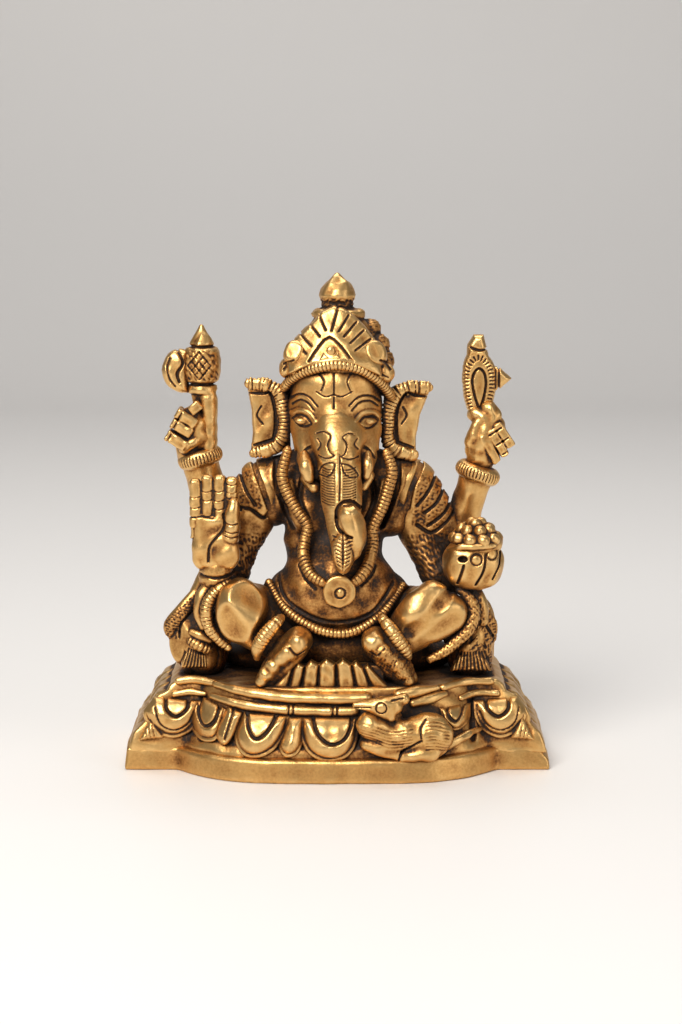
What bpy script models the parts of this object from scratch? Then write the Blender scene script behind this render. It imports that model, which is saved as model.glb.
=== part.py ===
"""Seated four-armed elephant-headed deity statue on a lotus plinth, as a set of separate closed solids.

The frame: +Z up, the figure faces -Y, and the origin is the middle of the plinth's underside.
The figure's own right side is at -X. Sizes in the tables below are millimetres, and the meshes are metres.
Neighbouring solids are parted by GAP, which stands for the fused metal of the real one-piece casting.
"""

import math

import bmesh
import bpy
from mathutils import Matrix, Vector

MM = 0.001

# Driving dimensions.
HEIGHT = 127.0
SLAB_HALF_WIDTH = 55.0
SLAB_HEIGHT = 6.8
SLAB_BACK = 24.0
WING_FRONT = -17.0
BULGE_FRONT = -31.0
BULGE_HALF_WIDTH = 39.0
SEAT_HEIGHT = 23.0
SEAT_HALF_WIDTH = 41.0
SHOULDER_HEIGHT = 74.0
CROWN_FOOT = 96.5
FINIAL_FOOT = 117.0
GAP = 0.3

# Fineness of the round forms.
ROUND_STEPS = 10
BALL_RINGS = 8
SMOOTH_ANGLE = math.radians(40)

SIDES = (("right", -1.0), ("left", 1.0))

BRASS = {"base_color": (0.78, 0.54, 0.24, 1.0), "roughness": 0.32, "metallic": 1.0}


def clear_scene():
    for obj in list(bpy.data.objects):
        bpy.data.objects.remove(obj, do_unlink=True)


def brass():
    """The one material of the casting."""
    material = bpy.data.materials.get("brass") or bpy.data.materials.new("brass")
    material.use_nodes = True
    shader = material.node_tree.nodes["Principled BSDF"]
    shader.inputs["Base Color"].default_value = BRASS["base_color"]
    shader.inputs["Roughness"].default_value = BRASS["roughness"]
    shader.inputs["Metallic"].default_value = BRASS["metallic"]
    return material


def mirrored(point, side):
    """A point given for the figure's left side, on the side asked for."""
    return (point[0] * side, point[1], point[2])


# ---------------------------------------------------------------- forms, as bmesh data in millimetres


def ball(centre, radii, tilt=0.0):
    """An ellipsoid, turned by tilt degrees about Y."""
    form = bmesh.new()
    bmesh.ops.create_uvsphere(form, u_segments=ROUND_STEPS, v_segments=BALL_RINGS, radius=1.0)
    turn = Matrix.Rotation(math.radians(tilt), 4, "Y")
    place = Matrix.Translation(Vector(centre)) @ turn @ Matrix.Diagonal((*radii, 1.0))
    bmesh.ops.transform(form, matrix=place, verts=form.verts)
    return form


def loft(rings, closed=False):
    """A skin over rings of equal length, with flat caps unless it is closed on itself."""
    form = bmesh.new()
    loops = [[form.verts.new(point) for point in ring] for ring in rings]
    count = len(loops[0])
    spans = len(loops) if closed else len(loops) - 1
    for index in range(spans):
        near, far = loops[index], loops[(index + 1) % len(loops)]
        for step in range(count):
            after = (step + 1) % count
            form.faces.new((near[step], near[after], far[after], far[step]))
    if not closed:
        form.faces.new(list(reversed(loops[0])))
        form.faces.new(loops[-1])
    bmesh.ops.recalc_face_normals(form, faces=form.faces)
    return form


def limb(stations, closed=False, steps=ROUND_STEPS):
    """A tube through (centre, radius) stations. A radius may be a pair: across the path, and along depth."""
    centres = [Vector(centre) for centre, _ in stations]
    rings = []
    last = len(centres) - 1
    for index, (_, radius) in enumerate(stations):
        before = centres[index - 1] if index or closed else centres[0]
        after = centres[(index + 1) % len(centres)] if index < last or closed else centres[last]
        along = (after - before).normalized()
        depth = Vector((0.0, 1.0, 0.0)) - along * along.y
        if depth.length < 0.2:
            depth = Vector((1.0, 0.0, 0.0)) - along * along.x
        depth.normalize()
        across = along.cross(depth)
        wide, deep = radius if isinstance(radius, tuple) else (radius, radius)
        ring = []
        for step in range(steps):
            angle = 2 * math.pi * step / steps
            ring.append(centres[index] + across * math.cos(angle) * wide + depth * math.sin(angle) * deep)
        rings.append(ring)
    return loft(rings, closed)


def turned(centre, profile, squash=1.0):
    """A form turned about Z: profile is (radius, height) from the bottom up, and squash scales its depth."""
    rings = []
    for radius, height in profile:
        ring = []
        for step in range(ROUND_STEPS * 2):
            angle = math.pi * step / ROUND_STEPS
            x = centre[0] + radius * math.cos(angle)
            y = centre[1] + radius * math.sin(angle) * squash
            ring.append((x, y, height))
        rings.append(ring)
    return loft(rings)


def plate(outline, front, back, lean=0.0, foot=0.0):
    """An outline in X and Z, given thickness from front to back. It leans back by lean per mm above foot."""
    rings = []
    for y in (front, back):
        rings.append([(x, y + (z - foot) * lean, z) for x, z in outline])
    return loft(rings)


def bevelled(form, width, segments=1):
    """The form with its sharp edges cut back."""
    sharp = [edge for edge in form.edges if edge.calc_face_angle(0.0) > math.radians(35)]
    bmesh.ops.bevel(form, geom=sharp, offset=width, segments=segments, affect="EDGES", clamp_overlap=True)
    return form


# ---------------------------------------------------------------- objects


def make(name, form):
    """One object from one form, in metres."""
    mesh = bpy.data.meshes.new(name)
    bmesh.ops.scale(form, vec=(MM, MM, MM), verts=form.verts)
    form.to_mesh(mesh)
    form.free()
    obj = bpy.data.objects.new(name, mesh)
    bpy.context.scene.collection.objects.link(obj)
    mesh.materials.append(brass())
    return obj


def settle(obj):
    """Applies the object's modifiers."""
    graph = bpy.context.evaluated_depsgraph_get()
    mesh = bpy.data.meshes.new_from_object(obj.evaluated_get(graph), depsgraph=graph)
    obj.modifiers.clear()
    obj.data = mesh


def fuse(name, forms, voxel=0.9, faces=300, soften=3):
    """Several forms melted into one skin: joined, remeshed, softened, and thinned to that many faces."""
    joined = bmesh.new()
    for form in forms:
        scratch = bpy.data.meshes.new("scratch")
        form.to_mesh(scratch)
        form.free()
        joined.from_mesh(scratch)
        bpy.data.meshes.remove(scratch)
    obj = make(name, joined)
    remesh = obj.modifiers.new("Melt", "REMESH")
    remesh.mode = "VOXEL"
    remesh.voxel_size = voxel * MM
    if soften:
        smooth = obj.modifiers.new("Soften", "SMOOTH")
        smooth.iterations = soften
    settle(obj)
    thin = obj.modifiers.new("Thin", "DECIMATE")
    thin.ratio = min(1.0, faces / (2 * len(obj.data.polygons)))
    settle(obj)
    return obj


def swollen(obj):
    """A hidden copy of the object, larger by GAP all round, for cutting its neighbours."""
    form = bmesh.new()
    form.from_mesh(obj.data)
    form.normal_update()
    moves = [vertex.normal * min(vertex.calc_shell_factor(), 2.0) * GAP * MM for vertex in form.verts]
    for vertex, move in zip(form.verts, moves):
        vertex.co += move
    cutter = bpy.data.objects.new(obj.name + "_clearance", bpy.data.meshes.new(obj.name + "_clearance"))
    form.to_mesh(cutter.data)
    form.free()
    bpy.context.scene.collection.objects.link(cutter)
    cutter.hide_render = True
    cutter.display_type = "WIRE"
    return cutter


def box_of(obj):
    corners = [vertex.co for vertex in obj.data.vertices]
    low = Vector(min(corner[axis] for corner in corners) for axis in range(3))
    high = Vector(max(corner[axis] for corner in corners) for axis in range(3))
    return low, high


def boxes_meet(first, second):
    (low_a, high_a), (low_b, high_b) = box_of(first), box_of(second)
    return all(low_a[axis] < high_b[axis] and low_b[axis] < high_a[axis] for axis in range(3))


def keep_largest_body(obj):
    """Drops the loose crumbs that a cut can leave beside the main body."""
    form = bmesh.new()
    form.from_mesh(obj.data)
    unseen = set(form.verts)
    bodies = []
    while unseen:
        stack = [unseen.pop()]
        body = []
        while stack:
            vertex = stack.pop()
            body.append(vertex)
            for edge in vertex.link_edges:
                other = edge.other_vert(vertex)
                if other in unseen:
                    unseen.remove(other)
                    stack.append(other)
        bodies.append(body)
    bodies.sort(key=len)
    for body in bodies[:-1]:
        bmesh.ops.delete(form, geom=body, context="VERTS")
    form.to_mesh(obj.data)
    form.free()


def part_from_neighbours(objects):
    """Cuts each object clear of every earlier one that it meets, so the earlier keeps its form."""
    cutters = []
    for obj in objects:
        whole = swollen(obj)
        for cutter in cutters:
            if boxes_meet(obj, cutter):
                cut = obj.modifiers.new("Clear " + cutter.name, "BOOLEAN")
                cut.operation = "DIFFERENCE"
                cut.solver = "MANIFOLD"
                cut.object = cutter
        if obj.modifiers:
            settle(obj)
            keep_largest_body(obj)
        cutters.append(whole)
    for cutter in cutters:
        bpy.data.objects.remove(cutter, do_unlink=True)


# ---------------------------------------------------------------- the plinth


def plan_outline(half_width, wing_front, bulge_half, bulge_front, back, height):
    """The plinth's plan: a straight back, two square wings, and a bowed front between them."""
    sagitta = wing_front - bulge_front
    radius = (bulge_half**2 + sagitta**2) / (2 * sagitta)
    sweep = math.asin(bulge_half / radius)
    steps = 12
    points = [(half_width, back), (half_width, wing_front)]
    for step in range(steps + 1):
        angle = sweep * (1 - 2 * step / steps)
        x = radius * math.sin(angle)
        points.append((x, bulge_front + radius * (1 - math.cos(angle))))
    points += [(-half_width, wing_front), (-half_width, back)]
    return [(x, y, height) for x, y in points]


def plinth_slab():
    foot = plan_outline(SLAB_HALF_WIDTH, WING_FRONT, BULGE_HALF_WIDTH, BULGE_FRONT, SLAB_BACK, 0.0)
    top = [(x, y, SLAB_HEIGHT) for x, y, _ in foot]
    return make("plinth_slab", bevelled(loft([foot, top]), 0.8))


def lotus_pedestal():
    """The block that the petals clothe, tapering from the slab to the seat."""
    foot = SLAB_HEIGHT + GAP
    rings = (
        plan_outline(53.5, -15.6, 37.0, -28.4, 22.6, foot),
        plan_outline(47.5, -14.4, 33.8, -25.6, 21.4, (foot + SEAT_HEIGHT) / 2),
        plan_outline(SEAT_HALF_WIDTH, -13.0, 31.0, -22.6, 20.0, SEAT_HEIGHT),
    )
    return make("lotus_pedestal", loft(rings))


def pedestal_front(x, z):
    """The depth of the pedestal's front face at x and z, and the way it faces, as a turn about Z."""
    rise = (z - SLAB_HEIGHT) / (SEAT_HEIGHT - SLAB_HEIGHT)
    wing, half, bow = -15.6 + 2.6 * rise, 37.0 - 6.0 * rise, -28.4 + 5.8 * rise
    if abs(x) >= half:
        return wing, 0.0
    sagitta = wing - bow
    radius = (half**2 + sagitta**2) / (2 * sagitta)
    sweep = math.asin(x / radius)
    return bow + radius * (1 - math.cos(sweep)), sweep


def petal(x, top, half_width, length, tilt=0.0, thick=2.2):
    """A hanging petal with a round end and a sunk heart, laid on the pedestal's sloping front."""
    steps = 10
    rim, heart = [], []
    for step in range(steps + 1):
        angle = math.pi * step / steps
        rim.append((math.cos(angle), -math.sin(angle) ** 0.7))
        heart.append((0.52 * math.cos(angle), -0.10 - 0.52 * (1 - abs(math.cos(angle)))))
    layers = (
        (rim, 1.0, 1.2),
        (rim, 1.0, -thick * 0.5),
        (rim, 0.86, -thick),
        (heart, 1.0, -thick),
        (heart, 0.9, -thick * 0.4),
    )
    rings = []
    for outline, scale, depth in layers:
        rings.append([(px * half_width * scale, depth, pz * length * scale) for px, pz in outline])
    form = loft(rings)
    low_y, turn = pedestal_front(x, top - length)
    high_y, _ = pedestal_front(x, top)
    lean = math.atan2(high_y - low_y, length)
    place = Matrix.Translation((x, high_y, top)) @ Matrix.Rotation(turn, 4, "Z")
    place = place @ Matrix.Rotation(-lean, 4, "X") @ Matrix.Rotation(math.radians(tilt), 4, "Y")
    bmesh.ops.transform(form, matrix=place, verts=form.verts)
    return form


def lotus_petals():
    """Broad petals with narrow ones between them, and one on each wing."""
    front = {
        "1": (-31.6, 18.0, 4.2, 8.6, 10),
        "2": (-20.4, 16.6, 6.0, 9.6, 4),
        "3": (-11.4, 15.8, 2.4, 8.8, 0),
        "4": (-1.8, 15.8, 5.8, 9.2, 0),
        "5": (30.4, 18.0, 3.8, 8.4, -10),
    }
    petals = []
    for number, (x, top, half_width, length, tilt) in front.items():
        petals.append(make("lotus_petal_" + number, petal(x, top, half_width, length, tilt)))
    for name, side in SIDES:
        petals.append(make(name + "_wing_petal", petal(43.4 * side, 19.6, 5.8, 8.6, -8 * side)))
    return petals


def seat_rims():
    """Two rounded mouldings, one above the other, that follow the bowed front of the seat."""
    rims = []
    for name, height, bow, radius in (("upper", 21.6, -23.4, 1.5), ("lower", 18.0, -25.2, 1.3)):
        stations = []
        for step in range(9):
            x = -30.5 + step * 61.0 / 8
            y = bow + (abs(x) / 31.0) ** 2 * 9.0
            stations.append(((x, y, height + abs(x) / 31.0 * 1.2), radius))
        rims.append(make("seat_rim_" + name, limb(stations, steps=8)))
    return rims


def mouse():
    """The mouse that crouches in front of the petals, its head turned to the figure's right."""
    body = (
        ball((9.0, -29.2, 12.6), (4.6, 3.2, 3.9)),
        ball((16.0, -28.2, 12.4), (6.0, 3.6, 5.0), tilt=-10),
        ball((23.0, -26.4, 11.6), (6.2, 4.0, 5.6)),
        limb((((27.0, -25.0, 9.5), 1.4), ((32.0, -23.0, 9.8), 1.0), ((37.0, -20.5, 10.6), 0.8))),
    )
    head = (
        ball((12.6, -28.6, 19.6), (4.6, 3.0, 3.6)),
        limb((((11.0, -29.0, 20.0), 2.6), ((4.4, -29.6, 20.4), 1.0))),
        ball((16.4, -27.2, 21.8), (2.6, 1.6, 2.4)),
    )
    return [fuse("mouse_head", head, 0.5, 240, soften=1), fuse("mouse_body", body, 0.7, 300)]


# ---------------------------------------------------------------- legs and dress


def legs():
    """Folded legs: the knees out to the sides, the shins running in to the feet."""
    made = []
    for name, side in SIDES:
        wide = 9.0 if side > 0 else 7.4
        forms = (
            limb([(mirrored(at, side), r) for at, r in (((10, 2, 33), 8.5), ((25, -9, 39.5), 8.5))]),
            ball(mirrored((24.2, -14.0, 40.6), side), (wide, 7.0, 9.2), tilt=20 * side),
            limb([(mirrored(at, side), r) for at, r in (((22, -15, 36), 5.0), ((13, -17, 33), 4.2))]),
        )
        made.append(fuse(name + "_leg", forms, 1.0, 300))
    return made


def feet():
    """Each foot rests on its outer edge with the toes to the front, the big toe uppermost."""
    made = []
    for name, side in SIDES:
        forms = [ball(mirrored((13.0, -17.5, 29.5), side), (5.4, 4.4, 6.2), tilt=42 * side)]
        for toe in range(5):
            share = toe / 4
            centre = (8.9 + 9.2 * share, -22.6 + 0.8 * share, 34.4 - 8.6 * share)
            forms.append(ball(mirrored(centre, side), (3.0 - 1.5 * share,) * 3))
        made.append(fuse(name + "_foot", forms, 0.6, 240, soften=1))
    return made


def anklets():
    made = []
    for name, side in SIDES:
        path = ((14.4, -18.0, 40.4), (15.8, -21.2, 38.4), (18.4, -21.8, 34.6), (20.6, -19.6, 31.4))
        stations = [(mirrored(at, side), 1.6) for at in path]
        made.append(make(name + "_anklet", limb(stations, steps=8)))
    return made


def hems():
    """The rolled hem of the cloth where it wraps the outside of each knee."""
    made = []
    for name, side in SIDES:
        path = (
            (29.6, -12.5, 47.6), (33.0, -13.0, 43.0), (34.2, -13.0, 38.0), (32.0, -13.5, 32.6), (27.4, -14.0, 29.6),
        )
        stations = [(mirrored(at, side), 1.5) for at in path]
        made.append(make(name + "_knee_hem", limb(stations, steps=8)))
    return made


def dhoti_lap():
    """The cloth-covered hips, flat where they rest on the seat."""
    forms = (
        ball((0.0, 0.0, 30.0), (25.0, 15.5, 10.0)),
        ball((0.0, 3.0, 26.0), (33.0, 15.0, 6.0)),
    )
    return fuse("dhoti_lap", forms, 1.1, 260)


def dhoti_pleats():
    """The pleated end of the cloth, fanned out between the feet."""
    low, high, folds = SEAT_HEIGHT + GAP, 29.6, 7
    left, right = -13.6, 12.2
    outline = [(right, low)]
    for index in range(2 * folds - 1):
        x = right - (index + 0.5) * (right - left) / (2 * folds - 1)
        crown = 1.0 - abs(2 * index / (2 * folds - 2) - 1.0) ** 2
        outline.append((x, high - 3.0 + 3.4 * crown - (1.1 if index % 2 else 0.0)))
    outline.append((left, low))
    return make("dhoti_pleats", plate(outline, -21.8, -17.0))


def bolsters():
    """A round cushion at each side of the seat."""
    made = []
    for name, side in SIDES:
        centre = mirrored((36.0, 0.0, 32.6), side)
        body = ball(centre, (6.6, 12.0, 9.0), tilt=12 * side)
        base = ball(mirrored((35.6, 0, 27), side), (6, 11, 5))
        forms = (body, base)
        made.append(fuse(name + "_bolster", forms, 1.0, 220))
    return made


def tassels():
    """The fringed sash end that hangs over each cushion, gathered by two cords."""
    made = []
    for name, side in SIDES:
        stations = (
            (mirrored((35.4, -11.0, 40.0), side), 2.0),
            (mirrored((36.6, -12.0, 35.6), side), (3.2, 2.2)),
            (mirrored((37.0, -12.4, 32.0), side), (2.9, 2.0)),
            (mirrored((37.2, -12.2, 28.0), side), (3.8, 2.3)),
            (mirrored((37.2, -11.6, SEAT_HEIGHT + GAP), side), (4.2, 2.4)),
        )
        made.append(make(name + "_sash_tassel", limb(stations)))
    return made


# ---------------------------------------------------------------- body


def torso():
    forms = (
        ball((0.0, -3.5, 45.0), (18.0, 14.5, 13.0)),
        ball((0.0, -1.0, 60.0), (12.4, 9.5, 10.0)),
        ball((0.0, -0.5, 70.0), (15.0, 9.5, 9.5)),
        limb((((-18.0, 0.5, 73.0), 6.0), ((0.0, 0.0, 76.0), 7.0), ((18.0, 0.5, 73.0), 6.0))),
    )
    return fuse("torso", forms, 1.1, 520)


def belt():
    """The corded belt under the belly, carried round behind the waist."""
    stations = []
    count = 24
    for step in range(count):
        angle = 2 * math.pi * step / count
        x = 18.0 * math.sin(angle)
        y = -3.2 - 13.6 * math.cos(angle)
        z = 43.2 - 7.0 * math.cos(angle)
        stations.append(((x, y, z), 1.3))
    return make("belt", limb(stations, closed=True, steps=6))


def garland():
    """A thick corded garland from the neck to the pendant, hanging over the belly."""
    half = (
        (13.4, -8.5, 80.0),
        (13.4, -10.4, 74.3),
        (10.8, -11.6, 68.0),
        (8.2, -12.6, 62.6),
        (8.6, -15.6, 57.0),
        (7.8, -17.6, 53.0),
        (4.2, -19.0, 50.2),
    )
    path = [mirrored(at, 1.0) for at in half] + [mirrored(at, -1.0) for at in reversed(half)]
    return make("garland", limb([(at, 1.6) for at in path], steps=8))


def pendant():
    form = turned((0.0, 0.0), ((3.9, -1.3), (3.9, 0.6), (3.0, 1.3), (1.4, 1.3), (1.4, 2.0)))
    face_front = Matrix.Rotation(math.radians(90), 4, "X")
    bmesh.ops.transform(form, matrix=Matrix.Translation((0.5, -18.9, 47.3)) @ face_front, verts=form.verts)
    return make("pendant", form)


# ---------------------------------------------------------------- head


def head():
    forms = [
        ball((0.0, -2.5, 92.5), (12.4, 12.0, 12.5)),
        ball((0.0, -5.5, 85.5), (10.6, 9.0, 8.0)),
        ball((0.0, -11.5, 89.5), (6.4, 6.5, 7.5)),
    ]
    for _, side in SIDES:
        forms.append(ball(mirrored((4.6, -8.2, 98.2), side), (6.4, 5.6, 6.0)))
        forms.append(ball(mirrored((7.4, -10.8, 80.4), side), (3.2, 4.2, 4.0)))
    return fuse("head", forms, 0.9, 520)


def trunk():
    """The trunk hangs down the belly, and its tip curls back up on the figure's left."""
    falling = (
        ((0.2, -14.6, 86.5), (5.6, 4.6)),
        ((0.5, -17.0, 81.6), (5.2, 4.2)),
        ((0.8, -18.6, 76.6), (4.9, 3.8)),
        ((0.6, -19.4, 71.5), (4.5, 3.5)),
        ((0.2, -20.2, 64.0), (4.0, 3.3)),
        ((0.9, -21.2, 58.0), (3.6, 2.9)),
        ((1.8, -21.4, 52.4), (1.6, 1.6)),
    )
    rising = (
        ((3.0, -21.6, 57.5), (2.6, 2.4)),
        ((4.6, -22.6, 62.0), (2.9, 2.6)),
        ((3.4, -23.0, 68.6), (3.0, 2.6)),
    )
    return fuse("trunk", (limb(falling), limb(rising)), 0.7, 420)


def tusks():
    """Two stub tusks, the one on the figure's right a little longer."""
    made = []
    for name, side in SIDES:
        reach = 3.2 if side > 0 else 4.6
        tip = (8.6 - reach * 0.2, -16.0 - reach * 0.5, 78.0 - reach * 0.5)
        path = ((7.6, -13.0, 80.0), (8.6, -16.0, 78.4), tip)
        stations = [(mirrored(at, side), radius) for at, radius in zip(path, (1.8, 1.7, 1.0))]
        made.append(make(name + "_tusk", limb(stations, steps=8)))
    return made


def ears():
    """Fan-shaped ears: a thin leaf with a thick rolled rim along the top, inner and bottom edges."""
    made = []
    leaf = ((13.5, 96.5), (16.6, 99.0), (23.6, 99.6), (22.2, 91.4), (20.8, 85.0), (21.6, 79.2), (13.5, 81.8))
    rim = (
        (24.0, 98.6), (19.6, 98.4), (15.8, 97.4), (13.9, 94.0),
        (13.6, 88.0), (13.6, 83.6), (15.4, 81.6), (21.0, 80.0),
    )
    for name, side in SIDES:
        outline = [(x * side, z) for x, z in leaf]
        tube = [((x * side, -3.4 + (x - 13.5) * 0.12, z), 1.6) for x, z in rim]
        forms = (plate(outline, -3.2, -0.2), limb(tube, steps=8))
        made.append(fuse(name + "_ear", forms, 0.6, 300, soften=1))
    return made


# ---------------------------------------------------------------- crown


def crown():
    """The tall cap, with the hair gathered in a knot behind it."""
    profile = (
        (13.2, CROWN_FOOT),
        (14.0, 99.5),
        (13.8, 103.0),
        (12.8, 107.0),
        (10.2, 111.2),
        (7.2, 115.0),
        (6.2, FINIAL_FOOT - GAP),
    )
    forms = (
        turned((0.3, -0.8), profile, squash=0.92),
        ball((1.5, 10.0, 104.0), (8.5, 5.5, 7.6)),
        ball((8.4, 6.0, 111.4), (3.6, 3.4, 3.8)),
    )
    return fuse("crown", forms, 0.9, 420)


def crown_band():
    """The corded band along the crown's foot, arched over the brow."""
    stations = []
    count = 28
    for step in range(count):
        angle = 2 * math.pi * step / count
        arch = max(0.0, math.cos(angle))
        x = 14.0 * math.sin(angle)
        y = -0.8 - 12.9 * math.cos(angle)
        stations.append(((x, y, CROWN_FOOT - 0.6 + 8.0 * arch), (1.2, 1.4)))
    return make("crown_band", limb(stations, closed=True, steps=6))


def crown_crest():
    """The fan-shaped front plate of the crown, leaning back to its point."""
    outline = (
        (-12.4, 106.6), (-12.2, 109.4), (-9.8, 111.8), (-2.6, 117.4), (0.0, 118.6),
        (2.4, 117.4), (9.8, 111.6), (11.6, 108.6), (11.2, 106.2), (0.0, 106.6),
    )
    return make("crown_crest", bevelled(plate(outline, -13.0, -8.0, lean=0.52, foot=106.0), 0.4))


def crown_jewel():
    return make("crown_jewel", ball((-0.9, -13.4, 108.4), (3.4, 1.6, 2.2)))


def rosettes():
    """A round boss at each end of the crest."""
    made = []
    for name, side in SIDES:
        made.append(make(name + "_crown_rosette", ball(mirrored((11.2, -7.4, 106.6), side), (3.0, 3.0, 3.2))))
    return made


def crown_finial():
    profile = (
        (6.6, FINIAL_FOOT), (6.9, 118.0), (4.2, 119.0), (4.5, 120.0), (4.7, 121.2),
        (4.2, 123.0), (2.9, 125.0), (1.3, 126.5), (0.3, HEIGHT),
    )
    return make("crown_finial", turned((0.0, 0.0), profile))


# ---------------------------------------------------------------- arms


def upper_arms():
    """Each upper arm carries both the front and the rear forearm of its side."""
    made = []
    for name, side in SIDES:
        path = (
            ((20.0, 1.0, SHOULDER_HEIGHT - 0.6), 6.6),
            ((24.6, 2.5, 65.0), 6.0),
            ((28.0, 4.0, 55.0), 5.2),
            ((28.6, 4.0, 48.0), 4.4),
        )
        stations = [(mirrored(at, side), radius) for at, radius in path]
        shoulder = ball(mirrored((20.0, 1.0, 73.0), side), (6.6,) * 3)
        made.append(fuse(name + "_upper_arm", (limb(stations), shoulder), 1.0, 260))
    return made


def rear_forearms():
    made = []
    paths = {
        "right": (((-29.4, 6.0, 60.0), 5.0), ((-33.4, 5.0, 68.0), 4.8), ((-35.0, 3.2, 76.6), 4.8)),
        "left": (((30.0, 6.0, 59.0), 5.0), ((33.6, 4.6, 67.0), 4.6), ((36.4, 3.0, 73.4), 4.4)),
    }
    for name, stations in paths.items():
        made.append(make(name + "_rear_forearm", limb(stations)))
    return made


def rear_bangles():
    """A broad bangle round each rear wrist, square to its forearm."""
    made = []
    for name, low, high in (
        ("right", (-35.3, 2.4, 77.0), (-36.2, 2.0, 80.0)),
        ("left", (36.3, 2.4, 73.2), (37.7, 2.0, 76.2)),
    ):
        low, high = Vector(low), Vector(high)
        stations = [(low, 5.4), (low.lerp(high, 0.25), 6.2), (low.lerp(high, 0.75), 6.2), (high, 5.2)]
        made.append(make(name + "_rear_bangle", limb([(tuple(at), r) for at, r in stations])))
    return made


def rear_hands():
    """Closed hands: a palm, three curled fingers on the outside and the knuckles over the grip."""
    right = [ball((-37.4, 0.6, 85.2), (5.4, 4.4, 6.4), tilt=-25)]
    for finger in range(3):
        at = (-43.0 + finger * 3.0, -1.8, 84.4 + finger * 3.8)
        right.append(limb(((at, 2.0), ((at[0] + 4.6, -2.6, at[2] - 3.6), 1.9)), steps=8))
    left = [ball((39.8, 0.6, 83.4), (5.4, 4.4, 7.4), tilt=24)]
    for finger in range(3):
        at = (44.8 - finger * 0.9, -1.8, 81.6 + finger * 3.6)
        left.append(limb(((at, 2.0), ((at[0] - 4.8, -2.8, at[2] - 3.0), 1.9)), steps=8))
    left.append(ball((38.4, -0.6, 89.4), (3.8, 3.4, 3.4)))
    return [
        fuse("right_rear_hand", right, 0.7, 260, soften=1),
        fuse("left_rear_hand", left, 0.7, 280, soften=1),
    ]


def axe():
    """The axe in the rear right hand: a shaft with a turned head and point, and a crescent blade."""
    centre = (-34.9, 1.6)
    profile = (
        (2.7, 81.0), (2.7, 94.0), (4.2, 95.6), (4.2, 97.4), (3.6, 98.0), (5.0, 99.8),
        (5.3, 102.2), (4.8, 105.0), (3.4, 107.2), (3.4, 107.8), (0.4, 113.4),
    )
    blade = []
    steps = 8
    for step in range(steps + 1):
        angle = math.radians(84 - 168 * step / steps)
        blade.append((centre[0] - 4.4 - 6.2 * math.cos(angle), 101.8 + 6.0 * math.sin(angle)))
    return [
        make("axe_shaft", turned(centre, profile)),
        make("axe_blade", bevelled(plate(blade, -0.6, 3.4), 0.5)),
    ]


def goad():
    """The goad in the rear left hand: a looped head with a stepped point and a side barb."""
    outline = (
        (34.8, 90.0), (32.6, 94.0), (31.8, 99.0), (32.8, 103.6), (34.2, 106.4), (36.0, 111.0), (38.4, 110.4),
        (39.4, 106.2), (39.8, 104.2), (41.4, 103.4), (45.2, 100.2), (41.2, 96.8), (40.4, 96.6), (38.4, 90.0),
    )
    return make("goad", bevelled(plate(outline, -0.8, 3.4), 0.5))


def front_forearms():
    """The front forearms come forward from the elbow to the hand."""
    made = []
    paths = {
        "right": (((-29.0, 4.0, 49.0), 4.6), ((-30.6, -5.0, 48.4), 4.4), ((-31.2, -11.6, 50.0), 4.0)),
        "left": (((29.0, 4.0, 48.0), 4.6), ((31.6, -3.0, 48.6), 4.6), ((33.4, -8.0, 50.0), 4.4)),
    }
    for name, stations in paths.items():
        made.append(make(name + "_front_forearm", limb(stations)))
    return made


def raised_hand():
    """The open right hand, palm to the front in the gesture of blessing."""
    forms = [
        ball((-31.4, -13.6, 59.6), (6.6, 3.0, 8.6)),
        ball((-31.2, -13.4, 53.6), (4.6, 3.0, 3.6)),
        limb((((-27.4, -14.4, 57.0), 3.0), ((-26.2, -14.6, 63.0), 2.2), ((-26.2, -14.4, 67.4), 1.9))),
    ]
    for finger, top in enumerate((74.4, 75.6, 75.4, 73.8)):
        x = -36.2 + finger * 3.3
        finger = (((x, -13.6, 62.0), 1.6), ((x, -14.4, top - 1.0), 1.6), ((x, -14.2, top), 1.0))
        forms.append(limb(finger, steps=8))
    return fuse("right_front_hand", forms, 0.45, 480, soften=1)


def cupped_hand():
    """The front left hand, its fingers closed round the bowl of sweets."""
    forms = [ball((35.2, -10.6, 52.0), (7.2, 6.2, 5.8))]
    for finger in range(3):
        x = 30.8 + finger * 4.0
        finger = (((x, -13.4, 55.4), 2.2), ((x, -16.2, 52.4), 2.2), ((x, -14.4, 48.4), 2.0))
        forms.append(limb(finger, steps=8))
    forms.append(ball((40.0, -10.0, 52.4), (2.6, 3.8, 4.8)))
    return fuse("left_front_hand", forms, 0.7, 340, soften=1)


def sweets_bowl():
    """The heap of round sweets that the hand holds."""
    forms = [ball((36.2, -11.0, 59.0), (5.6, 5.2, 3.4))]
    for ring, (count, reach, height, size) in enumerate(((7, 4.2, 60.4, 1.6), (4, 2.0, 62.4, 1.6))):
        for index in range(count):
            angle = 2 * math.pi * (index + 0.5 * ring) / count
            centre = (36.2 + reach * math.cos(angle), -11.0 + reach * math.sin(angle), height)
            forms.append(ball(centre, (size,) * 3))
    return fuse("sweets_bowl", forms, 0.6, 320, soften=1)


# ---------------------------------------------------------------- the statue


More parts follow.
